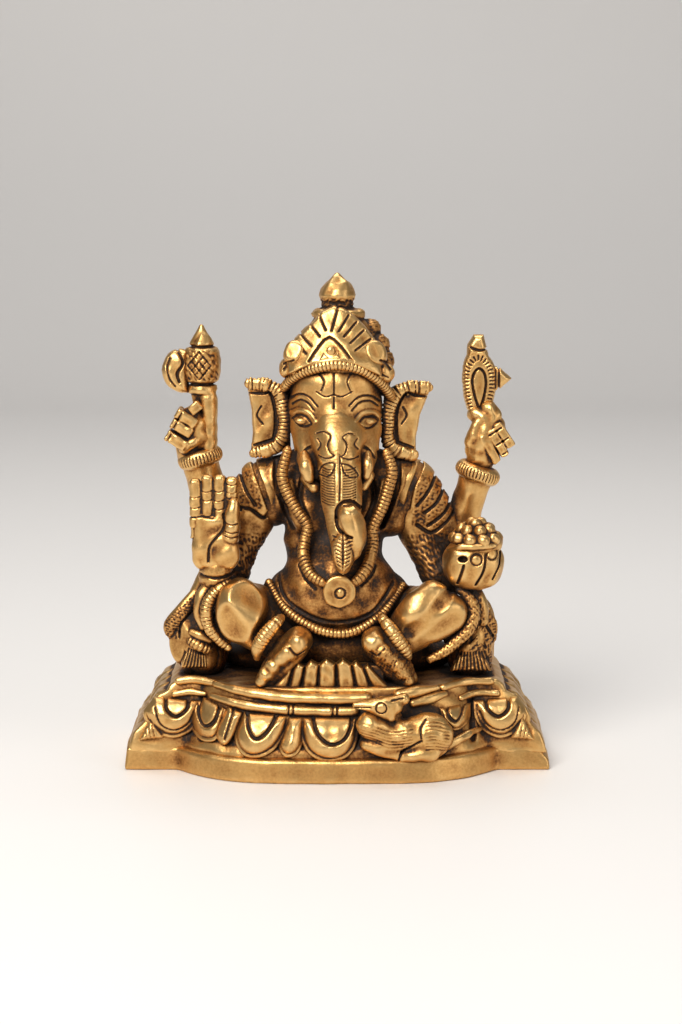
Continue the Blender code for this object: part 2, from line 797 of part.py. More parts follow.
def build():
    """Every solid, the ones that keep their whole form first."""
    clear_scene()
    members = [plinth_slab(), lotus_pedestal(), *mouse(), *seat_rims(), *lotus_petals()]
    members += [pendant(), trunk(), *tusks(), garland(), belt()]
    members += [crown_finial(), *rosettes(), crown_jewel(), crown_band(), crown_crest(), *ears()]
    members += [*rear_bangles(), goad(), *axe(), *rear_hands(), sweets_bowl(), cupped_hand(), raised_hand()]
    members += [dhoti_pleats(), *anklets(), *feet(), *hems(), *tassels(), *legs(), *bolsters()]
    members += [head(), crown(), torso(), *upper_arms(), *rear_forearms(), *front_forearms()]
    members.append(dhoti_lap())
    part_from_neighbours(members)
    for obj in members:
        obj.data.shade_smooth()
        obj.data.set_sharp_from_angle(angle=SMOOTH_ANGLE)


build()
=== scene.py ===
"""The looks of a cast brass statue: a seated four-armed elephant-headed deity on a lotus plinth.

Every piece is modelled like clay, as signed distances on a grid, then skinned with a mesh. Sizes are in
millimetres until the skin is made. +Z is up, the figure faces -Y, and its own right side is at -X.
"""

import math

import bpy
import numpy as np
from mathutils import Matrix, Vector


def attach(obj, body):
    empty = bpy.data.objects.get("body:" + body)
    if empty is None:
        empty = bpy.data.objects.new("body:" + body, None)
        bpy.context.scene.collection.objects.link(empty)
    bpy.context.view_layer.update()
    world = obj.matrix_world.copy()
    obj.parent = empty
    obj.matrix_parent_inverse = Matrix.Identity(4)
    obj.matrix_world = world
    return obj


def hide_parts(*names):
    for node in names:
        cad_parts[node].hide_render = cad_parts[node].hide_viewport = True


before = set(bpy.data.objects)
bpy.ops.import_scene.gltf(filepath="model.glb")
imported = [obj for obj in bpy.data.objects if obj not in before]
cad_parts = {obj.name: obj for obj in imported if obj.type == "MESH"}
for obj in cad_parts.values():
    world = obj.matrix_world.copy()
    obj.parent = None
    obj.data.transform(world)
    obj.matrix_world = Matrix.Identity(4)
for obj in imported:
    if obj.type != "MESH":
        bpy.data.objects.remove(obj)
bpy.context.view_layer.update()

MM = 0.001

# The grid: its pitch, how far from a surface the distances are kept, and a distance beyond any other.
VOXEL = 0.30
BAND = 3.0
FAR = 1e3

# The least length or slope that is divided by.
TINY = 1e-6

# Driving dimensions of the plinth.
WING_FRONT = -17.0
BULGE_FRONT = -31.0
BULGE_HALF_WIDTH = 41.0
SLAB_HALF_WIDTH = 55.0
SLAB_BACK = 24.0
SLAB_HEIGHT = 5.7
PEDESTAL_FOOT = 6.8
PEDESTAL_RISE = 16.2
PEDESTAL_BACK = 22.6
SEAT_HEIGHT = 23.2

# The pedestal's front as (at its foot, change up to the seat): how deep its wings and its middle lie, and
# half the width of its bow.
PEDESTAL_WINGS = (-16.4, 3.0)
PEDESTAL_MIDDLE = (-28.6, 5.6)
PEDESTAL_BOW = (39.0, -5.0)

# Where the figure's forms end, a little way into the seat.
FIGURE_FOOT = SEAT_HEIGHT - 0.6

# How the brass is rubbed, and how much shade is painted into it. A bend is (reach, weight, least, most), for
# edges and hollows of that size. A crowd is (name, reach, how far ahead of the surface, weight, how much of
# it is free): it darkens points shut in by other forms, partly as patina and partly as painted shade.
RESTING_POLISH = 0.70
BENDS = ((0.3, 2.2, -0.8, 0.10), (0.9, 0.6, -0.3, 0.14))
CROWD_PATINA_AND_SHADE = (("near", 1.0, 0.8, 1.4, 0.34), ("wide", 3.0, 2.0, 1.2, 0.34), ("far", 6.0, 4.0, 1.1, 0.26))
PUNCHED_DULLNESS = 0.20

# The brass by how much it is rubbed, from the hollows, dark with patina and painted shade, to the high spots.
BRASS_COLOURS = (
    (0.00, (0.020, 0.011, 0.007)),
    (0.16, (0.072, 0.032, 0.013)),
    (0.36, (0.230, 0.098, 0.031)),
    (0.58, (0.470, 0.234, 0.074)),
    (0.80, (0.660, 0.378, 0.128)),
    (1.00, (0.770, 0.490, 0.195)),
)
BRASS_ROUGHNESS = ((0.0, 0.70), (0.4, 0.55), (0.75, 0.40), (1.0, 0.33))
BRASS_METAL = ((0.0, 0.35), (0.3, 0.9), (0.5, 1.0))

# Noise is (scale, detail, roughness). The clouds shift the polish by their weight, and a bump adds the
# strength and the height in metres.
CLOUDS = (230.0, 3.0, 0.55)
CLOUD_WEIGHT = 0.38
SPECKS = (1500.0, 2.0, 0.55)
SPECK_LIMIT = 1.15
HAMMERING = (420.0, 4.0, 0.6)
HAMMERED_BUMP = (0.35, 0.0004)
PITTED_BUMP = (0.25, 0.00012)

# The studio, in metres and watts. A light is (name, place, size, power, colour).
AIM = (0.0, 0.0, 0.06)
LIGHTS = (
    ("key", (-0.30, -0.65, 0.65), (0.5, 0.5), 9.0, (1.0, 0.97, 0.92)),
    ("fill", (0.75, -0.55, 0.35), (0.5, 0.7), 1.8, (1.0, 0.96, 0.92)),
    ("top", (0.0, 0.25, 0.95), (0.8, 0.5), 4.5, (1.0, 1.0, 1.0)),
)
SKY_COLOUR = (0.90, 0.90, 0.92, 1.0)
SKY_STRENGTH = 0.22
FLOOR_COLOUR = (0.78, 0.76, 0.74, 1.0)
FLOOR_ROUGHNESS = 0.5
CAMERA_AIM = (0.001, 0.0, 0.0648)
CAMERA_REACH = 0.631
CAMERA_PITCH = math.radians(9.0)
CAMERA_LENS = 85.0
CAMERA_SENSOR = 36.0

SIDES = (("right", -1), ("left", 1))


# ---------------------------------------------------------------- plain geometry


def spline(points, steps=6):
    """A smooth path through the points."""
    points = np.asarray(points, float)
    if len(points) < 3:
        return points
    ends = np.vstack([2 * points[0] - points[1], points, 2 * points[-1] - points[-2]])
    path = []
    for index in range(1, len(ends) - 2):
        before, here, there, after = ends[index - 1 : index + 3]
        for t in np.arange(steps) / steps:
            bend = 2 * here + (there - before) * t + (2 * before - 5 * here + 4 * there - after) * t**2
            path.append(0.5 * (bend + (3 * here - before - 3 * there + after) * t**3))
    path.append(ends[-2])
    return np.array(path)


def on_side(points, side):
    """Points of the figure's left side, put on its left (1) or its right (-1)."""
    return [(point[0] * side, *point[1:]) for point in points]


def circle(x, z, radius, steps=14):
    """Points round a circle in X and Z, back to the first one."""
    angles = np.radians(np.linspace(0, 360, steps + 1))
    return [(x + radius * math.cos(angle), z + radius * math.sin(angle)) for angle in angles]


def outline_distance(outline, u, v):
    """Signed distance in a plane to a closed outline, negative inside."""
    outline = np.asarray(outline, float)
    least = np.full(np.broadcast(u, v).shape, FAR, np.float32)
    inside = np.zeros(least.shape, bool)
    for (ax, ay), (bx, by) in zip(outline, np.roll(outline, -1, 0)):
        ex, ey = bx - ax, by - ay
        length = ex * ex + ey * ey
        if length < TINY:
            continue
        wx, wy = u - ax, v - ay
        t = np.clip((wx * ex + wy * ey) / length, 0, 1)
        least = np.minimum(least, np.hypot(wx - ex * t, wy - ey * t))
        if abs(ey) > TINY:
            crosses = ((ay > v) != (by > v)) & (u < ex * (v - ay) / ey + ax)
            inside ^= crosses
    return np.where(inside, -least, least)


def path_distance(path, u, v):
    """Distance in a plane to an open path, and how far along it the nearest point is."""
    least = np.full(np.broadcast(u, v).shape, FAR, np.float32)
    along = np.zeros(least.shape, np.float32)
    travelled = 0.0
    for (ax, ay), (bx, by) in zip(path[:-1], path[1:]):
        ex, ey = bx - ax, by - ay
        length = math.hypot(ex, ey)
        if length < TINY:
            continue
        wx, wy = u - ax, v - ay
        t = np.clip((wx * ex + wy * ey) / length**2, 0, 1)
        reach = np.hypot(wx - ex * t, wy - ey * t)
        nearer = reach < least
        least = np.where(nearer, reach, least)
        along = np.where(nearer, travelled + t * length, along)
        travelled += length
    return least, along


# ---------------------------------------------------------------- shapes: (low, high, distance)


def ball(centre, radii, tilt=0.0):
    """An ellipsoid, turned by tilt degrees about Y."""
    cx, cy, cz = centre
    a, b, c = radii if isinstance(radii, tuple) else (radii,) * 3
    ct, st = math.cos(math.radians(tilt)), math.sin(math.radians(tilt))

    def distance(x, y, z):
        x, y, z = x - cx, y - cy, z - cz
        x, z = x * ct - z * st, x * st + z * ct
        near = np.sqrt((x / a) ** 2 + (y / b) ** 2 + (z / c) ** 2)
        slope = np.sqrt((x / a**2) ** 2 + (y / b**2) ** 2 + (z / c**2) ** 2)
        return near * (near - 1) / np.maximum(slope, TINY)

    reach = np.array([max(a, c), max(b, c), max(a, b, c)]) if tilt else np.array([a, b, c])
    return np.array(centre) - reach, np.array(centre) + reach, distance


def solid(low, high, distance):
    """A shape given by its own distance function."""
    return np.array(low, float), np.array(high, float), distance


def box(centre, half, edge=0.4, tilt=0.0):
    """A box with rounded edges, turned by tilt degrees about Y."""
    cx, cy, cz = centre
    ct, st = math.cos(math.radians(tilt)), math.sin(math.radians(tilt))

    def distance(x, y, z):
        x, y, z = x - cx, y - cy, z - cz
        x, z = x * ct - z * st, x * st + z * ct
        qx, qy, qz = abs(x) - half[0] + edge, abs(y) - half[1] + edge, abs(z) - half[2] + edge
        outside = np.sqrt(np.maximum(qx, 0) ** 2 + np.maximum(qy, 0) ** 2 + np.maximum(qz, 0) ** 2)
        return outside + np.minimum(np.maximum(qx, np.maximum(qy, qz)), 0) - edge

    reach = np.array([half[0] * abs(ct) + half[2] * abs(st), half[1], half[0] * abs(st) + half[2] * abs(ct)])
    return np.array(centre) - reach, np.array(centre) + reach, distance


def turned(centre, profile, squash=1.0):
    """A form turned about a vertical axis: profile is (radius, height) from the foot up."""
    outline = [(-1.0, profile[0][1]), *profile, (-1.0, profile[-1][1])]
    widest = max(radius for radius, _ in profile)
    cx, cy = centre

    def distance(x, y, z):
        radius = np.hypot(x - cx, (y - cy) / squash)
        return outline_distance(outline, radius + 0 * z, z + 0 * radius)

    low = (cx - widest, cy - widest * squash, profile[0][1])
    high = (cx + widest, cy + widest * squash, profile[-1][1])
    return solid(low, high, distance)


def plate(outline, middle, half, edge=0.3, puff=0.0, surface=None):
    """An outline in X and Z with a thickness in depth. Puff thins it towards its outline, over that many
    millimetres. A surface is a function of x and z that gives the depth of the plate's middle."""
    outline = np.asarray(outline, float)
    low2, high2 = outline.min(0), outline.max(0)

    def distance(x, y, z):
        flat = outline_distance(outline, x, z)
        rise = half
        if puff:
            share = np.clip(-flat / puff, 0, 1)
            rise = half * np.sqrt(np.clip(1 - (1 - share) ** 2, 0, 1))
        depth = y - (surface(x, z) if surface else middle)
        side = flat + edge
        front = abs(depth) - rise + edge
        outside = np.hypot(np.maximum(side, 0), np.maximum(front, 0))
        return outside + np.minimum(np.maximum(side, front), 0) - edge

    near, far = middle - half, middle + half
    if surface:
        x = np.linspace(low2[0], high2[0], 12)[:, None]
        z = np.linspace(low2[1], high2[1], 12)[None, :]
        depths = surface(x, z)
        near, far = depths.min() - half, depths.max() + half
    return solid((low2[0], near, low2[1]), (high2[0], far, high2[1]), distance)


def smooth_min(first, second, blend):
    """The lesser of the two, eased where they are within blend of each other."""
    if blend <= 0:
        return np.minimum(first, second)
    share = np.clip(0.5 + 0.5 * (second - first) / blend, 0, 1)
    return second * (1 - share) + first * share - blend * share * (1 - share)


def smooth_max(first, second, blend):
    """The greater of the two, eased in the same way."""
    return -smooth_min(-first, -second, blend)


# ---------------------------------------------------------------- clay


class Clay:
    """A piece of clay and the list of steps that shape it."""

    def __init__(self, voxel=1.0):
        self.voxel = VOXEL * voxel
        # Soft scales how far hollows and edges show in the polish and painted shade. Dull is taken off it
        # everywhere;
        # on pieces that sit back behind others it is partly patina and partly painted shade.
        self.soft = 1.0
        self.dull = 0.0
        self.steps = []
        self.lows = []
        self.highs = []

    # The steps.

    def add(self, shape, blend=0.0):
        """Puts on a shape, melting into what is there over blend millimetres."""
        low, high, distance = shape
        self.lows.append(low)
        self.highs.append(high)
        self.steps.append(("blend", low, high, blend, distance, smooth_min))

    def cut(self, shape, blend=0.0):
        """Takes a shape away."""
        low, high, distance = shape
        self.steps.append(("blend", low, high, blend, distance, lambda a, b, k: -smooth_min(-a, b, k)))

    def tube(self, points, radii, blend=0.0, pitch=0.0, cut=0.2, flat=1.0, smooth=6):
        """A tube through the points. A pitch cuts fine rings round it, and flat scales its depth."""
        points = np.asarray(points, float)
        radii = np.asarray(radii if np.ndim(radii) else [radii] * len(points), float)
        path = spline(np.column_stack([points, radii]), smooth)
        self.lows.append((path[:, :3] - path[:, 3:]).min(0))
        self.highs.append((path[:, :3] + path[:, 3:]).max(0))
        self.steps.append(("tube", path, blend, pitch, cut, flat))

    def carve(self, path, width, depth, limit=None, lines=None, plane="front", back=False, smooth=5):
        """Sinks a groove of that half-width along a path seen from the front, or raises it if depth is
        negative. Limit is the depth past which nothing is touched. Lines is (pitch, half-width) and turns
        the groove into short strokes across the path. The plane may be side, for a path in Y and Z."""
        path = spline(path, smooth)
        self.steps.append(("carve", path, width, depth, limit, lines, plane == "side", back))

    def carve_each(self, paths, *how, **more):
        """The same groove along each of the paths."""
        for path in paths:
            self.carve(path, *how, **more)

    def stipple(self, outline, limit, height, pitch, seed):
        """Punches a rough grain inside an outline seen from the front."""
        self.steps.append(("stipple", np.asarray(outline, float), limit, height, pitch, seed))

    def flatten(self, point, normal, blend=0.6):
        """Planes off everything beyond a plane."""
        normal = np.asarray(normal, float) / np.linalg.norm(normal)
        self.steps.append(("flatten", np.asarray(point, float), normal, blend))

    def grain(self, height, pitch, seed):
        """Uneven hand work: slow waves over the whole surface."""
        self.steps.append(("grain", height, pitch, seed))

    def above(self, z):
        """Takes away all below a level, for a flat foot."""
        self.steps.append(("above", z))

    # How the steps are carried out.

    def window(self, low, high):
        """The part of the grid inside a box: its slices and its coordinates."""
        first = np.clip(np.floor((low - self.low) / self.voxel).astype(int), 0, self.count)
        last = np.clip(np.ceil((high - self.low) / self.voxel).astype(int) + 1, 0, self.count)
        slices = tuple(slice(a, b) for a, b in zip(first, last))
        return slices, self.x[slices[0]], self.y[:, slices[1]], self.z[:, :, slices[2]]

    def flat_window(self, low2, high2, side=False):
        """The same for a box in X and Z, or in Y and Z, that runs right through the grid."""
        low, high = self.low.copy(), self.low + self.voxel * self.count
        first = 1 if side else 0
        low[first], low[2] = low2
        high[first], high[2] = high2
        return self.window(low, high)

    def work(self):
        """Lays out the grid round the shapes and carries out the steps on it, in their order."""
        margin = 1.2
        unit = 2 * self.voxel
        self.low = np.floor((np.min(self.lows, 0) - margin) / unit) * unit
        high = np.max(self.highs, 0) + margin
        self.count = (np.ceil((high - self.low) / self.voxel)).astype(int) + 1
        axes = [self.low[i] + self.voxel * np.arange(self.count[i], dtype=np.float32) for i in range(3)]
        self.x = axes[0].astype(np.float32)[:, None, None]
        self.y = axes[1].astype(np.float32)[None, :, None]
        self.z = axes[2].astype(np.float32)[None, None, :]
        self.field = np.full(self.count, BAND, np.float32)
        self.matt = np.zeros(self.count, np.float32)
        for name, *how in self.steps:
            getattr(self, "do_" + name)(*how)

    def do_above(self, level):
        self.field = np.maximum(self.field, level - self.z)

    def do_flatten(self, point, normal, blend):
        away = (self.x - point[0], self.y - point[1], self.z - point[2])
        beyond = sum(part * share for part, share in zip(away, normal))
        self.field = smooth_max(self.field, beyond.astype(np.float32), blend)

    def do_tube(self, path, blend, pitch, cut, flat):
        margin = BAND + blend
        low = path[:, :3].min(0) - path[:, 3].max() - margin
        high = path[:, :3].max(0) + path[:, 3].max() + margin
        whole, _, _, _ = self.window(low, high)
        form = np.full(self.field[whole].shape, BAND, np.float32)
        place = np.zeros(form.shape, np.float32)
        travelled = 0.0
        for a, b in zip(path[:-1], path[1:]):
            along = b[:3] - a[:3]
            length = float(np.linalg.norm(along))
            if length < TINY:
                continue
            e = along / length
            reach = max(a[3], b[3]) + BAND
            slices, x, y, z = self.window(np.minimum(a[:3], b[:3]) - reach, np.maximum(a[:3], b[:3]) + reach)
            wx, wy, wz = x - a[0], y - a[1], z - a[2]
            t = np.clip(wx * e[0] + wy * e[1] + wz * e[2], 0, length)
            radius = a[3] + (b[3] - a[3]) * t / length
            away = np.sqrt((wx - e[0] * t) ** 2 + ((wy - e[1] * t) / flat) ** 2 + (wz - e[2] * t) ** 2)
            away = (away - radius) * min(1.0, flat)
            local = tuple(slice(i.start - j.start, i.stop - j.start) for i, j in zip(slices, whole))
            nearer = away < form[local]
            form[local] = np.where(nearer, away, form[local])
            place[local] = np.where(nearer, travelled + t, place[local])
            travelled += length
        if pitch:
            beat = abs(place / pitch % 1.0 - 0.5) * 2
            form += cut * np.clip(3.0 * beat - 2.0, 0, 1)
        self.field[whole] = smooth_min(self.field[whole], np.clip(form, -BAND, BAND), blend)

    def do_blend(self, low, high, blend, distance, how):
        margin = BAND + blend
        slices, x, y, z = self.window(low - margin, high + margin)
        if min(x.shape[0], y.shape[1], z.shape[2]) == 0:
            return
        form = np.clip(distance(x, y, z), -BAND, BAND)
        self.field[slices] = how(self.field[slices], form, blend)

    def gate(self, across, limit, back):
        """One where a cut may work, falling to nothing past the limit."""
        if limit is None:
            return 1.0
        room = across - limit if back else limit - across
        return np.clip(room + 0.5, 0, 1)

    def do_carve(self, path, width, depth, limit, lines, side, back):
        slices, x, y, z = self.flat_window(path.min(0) - width, path.max(0) + width, side)
        if min(x.shape[0], y.shape[1], z.shape[2]) == 0:
            return
        across = y if side else x
        reach, along = path_distance(path, across + 0 * z, z + 0 * across)
        if lines:
            pitch, half = lines
            stroke = abs((along / pitch + 0.5) % 1.0 - 0.5) * pitch / half
            sink = depth * np.clip(1 - stroke**2, 0, 1) * np.clip(2 * (1 - reach / width), 0, 1)
        else:
            sink = depth * np.clip(1 - (reach / width) ** 2, 0, 1)
        self.field[slices] += (sink * self.gate(x if side else y, limit, back)).astype(np.float32)

    def do_stipple(self, outline, limit, height, pitch, seed):
        slices, x, y, z = self.flat_window(outline.min(0) - 0.5, outline.max(0) + 0.5)
        if min(x.shape[0], y.shape[1], z.shape[2]) == 0:
            return
        inside = np.clip(-outline_distance(outline, x + 0 * z, z + 0 * x) / 0.5, 0, 1)
        inside = inside * self.gate(y, limit, False)
        waves, loudest = 9, 2.4
        draw = np.random.default_rng(seed)
        rough = 0
        for _ in range(waves):
            angle, shift = draw.uniform(0, math.pi), draw.uniform(0, 2 * math.pi)
            across = x * math.cos(angle) + z * math.sin(angle) + draw.uniform(-0.6, 0.6) * y
            wave = across * 2 * math.pi / pitch
            rough = rough + np.sin(wave * draw.uniform(0.5, 1.5) + shift)
        self.field[slices] += (height * np.clip(rough / loudest, -1, 1) * inside).astype(np.float32)
        self.matt[slices] = np.maximum(self.matt[slices], inside)

    def do_grain(self, height, pitch, seed):
        waves, loudest = 7, 2.6
        draw = np.random.default_rng(seed)
        total = 0
        for _ in range(waves):
            ax, ay, az = draw.normal(size=3)
            norm = 2 * math.pi / pitch / math.sqrt(ax * ax + ay * ay + az * az)
            turn = draw.uniform(0, 2 * math.pi)
            total = total + np.sin((self.x * ax + self.y * ay + self.z * az) * norm + turn)
        self.field += (height / loudest * total).astype(np.float32)


# ---------------------------------------------------------------- skinning


def read_field(field, at):
    """The field between its grid points, at points in grid units."""
    count = np.array(field.shape)
    base = np.clip(np.floor(at).astype(np.int64), 0, count - 2)
    share = (at - base).astype(np.float32)
    flat = field.ravel()
    start = (base[:, 0] * count[1] + base[:, 1]) * count[2] + base[:, 2]
    total = 0
    for i in (0, 1):
        for j in (0, 1):
            for k in (0, 1):
                weight = (share[:, 0] if i else 1 - share[:, 0]) * (share[:, 1] if j else 1 - share[:, 1])
                weight = weight * (share[:, 2] if k else 1 - share[:, 2])
                total = total + weight * flat[start + (i * count[1] + j) * count[2] + k]
    return total


def field_slope(field, at):
    """The unit direction in which the field grows, and the slope itself."""
    half_span = 0.6
    rise = np.empty(at.shape, np.float32)
    for axis in range(3):
        step = np.zeros(3)
        step[axis] = half_span
        rise[:, axis] = read_field(field, at + step) - read_field(field, at - step)
    return rise / np.maximum(np.linalg.norm(rise, axis=1, keepdims=True), TINY), rise / (2 * half_span)


def skin(field):
    """A net of quads over the field's zero surface: (points in grid units, quads)."""
    inside = field < 0
    count = np.zeros(np.array(field.shape) - 1, np.uint8)
    for i in (0, 1):
        for j in (0, 1):
            for k in (0, 1):
                count += inside[
                    i : inside.shape[0] - 1 + i, j : inside.shape[1] - 1 + j, k : inside.shape[2] - 1 + k
                ]
    crossed = (count > 0) & (count < 8)
    ci, cj, ck = np.nonzero(crossed)
    number = np.full(crossed.shape, -1, np.int64)
    number[ci, cj, ck] = np.arange(len(ci))
    total = np.zeros((len(ci), 3), np.float32)
    hits = np.zeros(len(ci), np.float32)
    for axis in range(3):
        others = [a for a in range(3) if a != axis]
        for p in (0, 1):
            for q in (0, 1):
                near = [0, 0, 0]
                near[others[0]], near[others[1]] = p, q
                far = list(near)
                far[axis] = 1
                a = field[ci + near[0], cj + near[1], ck + near[2]]
                b = field[ci + far[0], cj + far[1], ck + far[2]]
                hit = (a < 0) != (b < 0)
                t = np.where(hit, a / np.where(hit, a - b, 1), 0)
                point = np.zeros((len(ci), 3), np.float32) + np.array(near, np.float32)
                point[:, axis] = t
                total += point * hit[:, None]
                hits += hit
    points = total / np.maximum(hits, 1)[:, None] + np.column_stack([ci, cj, ck])
    quads = []
    for axis in range(3):
        low = [slice(None)] * 3
        high = [slice(None)] * 3
        low[axis], high[axis] = slice(0, -1), slice(1, None)
        first, second = inside[tuple(low)], inside[tuple(high)]
        edges = np.array(np.nonzero(first != second))
        u, v = [a for a in range(3) if a != axis]
        room = (edges[u] > 0) & (edges[v] > 0)
        room &= (edges[u] < field.shape[u] - 1) & (edges[v] < field.shape[v] - 1)
        edges = edges[:, room]
        corners = []
        for du, dv in ((-1, -1), (0, -1), (0, 0), (-1, 0)):
            cell = edges.copy()
            cell[u] += du
            cell[v] += dv
            corners.append(number[cell[0], cell[1], cell[2]])
        quad = np.column_stack(corners)
        out = first[edges[0], edges[1], edges[2]]
        if axis == 1:
            out = ~out
        quad[~out] = quad[~out][:, ::-1]
        quads.append(quad)
    return points, np.vstack(quads)


def relax(field, points, quads, rounds=2):
    """Evens the net out along the surface, and draws it back onto it."""
    pull, least_slope, longest_move = 0.6, 0.05, 0.5
    ends = np.vstack([quads[:, [0, 1]], quads[:, [1, 2]], quads[:, [2, 3]], quads[:, [3, 0]]])
    many = len(points)
    degree = np.maximum(np.bincount(ends[:, 0], minlength=many) + np.bincount(ends[:, 1], minlength=many), 1)
    for _ in range(rounds):
        mean = np.empty(points.shape)
        for axis in range(3):
            pulled = np.bincount(ends[:, 0], points[ends[:, 1], axis], many)
            pulled += np.bincount(ends[:, 1], points[ends[:, 0], axis], many)
            mean[:, axis] = pulled / degree
        points = points + pull * (mean - points)
        _, slope = field_slope(field, points)
        steep = np.maximum((slope**2).sum(1), least_slope)
        move = (read_field(field, points) / steep)[:, None] * slope
        points = points - np.clip(move, -longest_move, longest_move)
    return points


def blurred(volume, reach, rounds=2):
    """A box blur of the volume, repeated."""
    for _ in range(rounds):
        for axis in range(3):
            pad = [(0, 0)] * 3
            pad[axis] = (reach + 1, reach)
            total = np.cumsum(np.pad(volume, pad, mode="edge"), axis=axis, dtype=np.float64)
            size = volume.shape[axis]
            take = [slice(None)] * 3
            drop = [slice(None)] * 3
            take[axis] = slice(2 * reach + 1, 2 * reach + 1 + size)
            drop[axis] = slice(0, size)
            volume = ((total[tuple(take)] - total[tuple(drop)]) / (2 * reach + 1)).astype(np.float32)
    return volume


# The pieces that are cast, each a dictionary of its net and of what its polish and painted shade are worked
# out from.
made = []


def cast(name, clay):
    """Skins the clay and keeps it for finishing, under the name of the solid that it stands for."""
    clay.work()
    points, quads = skin(clay.field)
    points = relax(clay.field, points, quads)
    normals, _ = field_slope(clay.field, points)
    level = read_field(clay.field, points)
    bends = []
    for reach, _, _, _ in BENDS:
        steps = max(1, round(reach / clay.voxel))
        bend = read_field(blurred(clay.field, steps), points) - level
        bends.append(bend / (steps * clay.voxel))
    made.append(
        {
            "name": name,
            "points": points * clay.voxel + clay.low,
            "normals": normals,
            "quads": quads,
            "bends": bends,
            "soft": clay.soft,
            "dull": clay.dull + PUNCHED_DULLNESS * read_field(clay.matt, points),
            "field": clay.field,
            "low": clay.low,
            "voxel": clay.voxel,
        }
    )


def cast_each(*sculptors):
    """Casts the work of each function under the function's own name."""
    for sculptor in sculptors:
        cast(sculptor.__name__, sculptor())


def cast_sides(*sculptors):
    """The same for both sides of the figure."""
    for name, side in SIDES:
        for sculptor in sculptors:
            cast(f"{name}_{sculptor.__name__}", sculptor(side))


def crowding():
    """How full the room about each point is, at three ranges, over all the pieces together. It darkens the
    brass
    where forms crowd in: partly patina, partly painted shade in creases and between the parts.
    """
    pitch = 2 * VOXEL
    margin = 12
    low = np.min([piece["low"] for piece in made], 0) - margin
    high = np.max([piece["points"].max(0) for piece in made], 0) + margin
    full = np.zeros(np.ceil((high - low) / pitch).astype(int) + 1, np.float32)
    for piece in made:
        inside = np.argwhere(piece["field"] < 0)
        at = np.round((inside * piece["voxel"] + piece["low"] - low) / pitch).astype(int)
        full[at[:, 0], at[:, 1], at[:, 2]] = 1
    for name, reach, ahead, _, _ in CROWD_PATINA_AND_SHADE:
        crowd = blurred(full, max(1, round(reach / pitch)))
        for piece in made:
            at = (piece["points"] + piece["normals"] * ahead - low) / pitch
            piece[name] = read_field(crowd, at)


def polish_and_shade(piece):
    """How bright each point is rubbed, less the shade painted where forms crowd in: 0 in the hollows, 1 on
    what stands proud.
    """
    bends = sum(
        np.clip(weight * bend, least, most) for bend, (_, weight, least, most) in zip(piece["bends"], BENDS)
    )
    # The crowds darken the brass as patina and as painted shade in creases and between parts.
    patina_and_shade = sum(weight * np.clip(piece[name] - free, 0, 1) for name, _, _, weight, free in CROWD_PATINA_AND_SHADE)
    proud = RESTING_POLISH + min(1.0, 1.5 * piece["soft"]) * bends
    return np.clip(proud - piece["soft"] * patina_and_shade - piece["dull"], 0, 1)


def to_object(piece, material):
    """Makes the finished mesh object of one piece, which rides the statue and replaces its solid."""
    points = (piece["points"] * MM).astype(np.float32)
    quads = piece["quads"].astype(np.int32)
    mesh = bpy.data.meshes.new(piece["name"])
    mesh.vertices.add(len(points))
    mesh.vertices.foreach_set("co", points.ravel())
    mesh.loops.add(quads.size)
    mesh.loops.foreach_set("vertex_index", quads.ravel())
    mesh.polygons.add(len(quads))
    mesh.polygons.foreach_set("loop_start", np.arange(0, quads.size, 4, dtype=np.int32))
    mesh.update(calc_edges=True)
    mesh.shade_smooth()
    # The attribute carries the rubbed brass together with the shade painted into hollows and between parts.
    attribute = mesh.attributes.new("polish_and_shade", "FLOAT", "POINT")
    attribute.data.foreach_set("value", polish_and_shade(piece).astype(np.float32))
    mesh.materials.append(material)
    obj = bpy.data.objects.new(piece["name"] + "_cast", mesh)
    bpy.context.scene.collection.objects.link(obj)
    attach(obj, "root")
    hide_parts(piece["name"])


# ---------------------------------------------------------------- the plinth

# Here and in all that follows, a tube's points are (x, y, z). Those of a groove, an outline or a patch of
# stipple are (x, z), or (y, z) on the side plane. A profile is in (radius, height).

# Half widths of the pedestal by height.
SIDE_PROFILE = (
    (0, 55), (6.8, 53.6), (9.7, 52.6), (12.4, 50), (14, 49.8), (16, 49), (19.1, 46.6), (20.2, 44),
    (21.8, 43.2), (23.6, 40.8),
)


def bow(x, half_width):
    """One in the middle of the bow and next to nothing past its ends, with a soft corner there."""
    furthest, steepness, corner = 1.4, 4, 0.006
    rise = 1 - np.minimum(abs(x) / half_width, furthest) ** steepness
    return (rise + np.sqrt(rise * rise + corner)) / 2


def slab_front(x):
    """The depth of the slab's front edge: two straight wings and a bow between them."""
    return WING_FRONT + (BULGE_FRONT - WING_FRONT) * bow(x, BULGE_HALF_WIDTH)


def plinth_slab():
    """The foot of the plinth: leaning edges, and a top that rises from its front edge."""

    def distance(x, y, z):
        front = slab_front(x) - y + 0.12 * z
        ends = abs(x) - SLAB_HALF_WIDTH + 0.10 * z
        top = z - SLAB_HEIGHT - 0.20 * np.clip(y - slab_front(x), 0, 5)
        sides = smooth_max(smooth_max(front * 0.8, y - SLAB_BACK, 0.6), ends, 0.6)
        return smooth_max(sides, top, 0.6)

    clay = Clay(2)
    clay.add(solid((-SLAB_HALF_WIDTH, BULGE_FRONT, 0), (SLAB_HALF_WIDTH, SLAB_BACK, 8), distance))
    clay.flatten((53.2, -14, 4.6), (0.72, -0.10, 0.70), 0.4)
    clay.grain(0.07, 8, 2)
    clay.above(0)
    clay.soft = 0.35
    return clay


def pedestal_front(x, z):
    """The depth of the pedestal's front at x and z: it leans back from the slab to the seat."""
    rise = np.clip((z - PEDESTAL_FOOT) / PEDESTAL_RISE, 0, 1)
    wings, middle, half_width = (
        foot + change * rise for foot, change in (PEDESTAL_WINGS, PEDESTAL_MIDDLE, PEDESTAL_BOW)
    )
    return wings + (middle - wings) * bow(x, half_width)


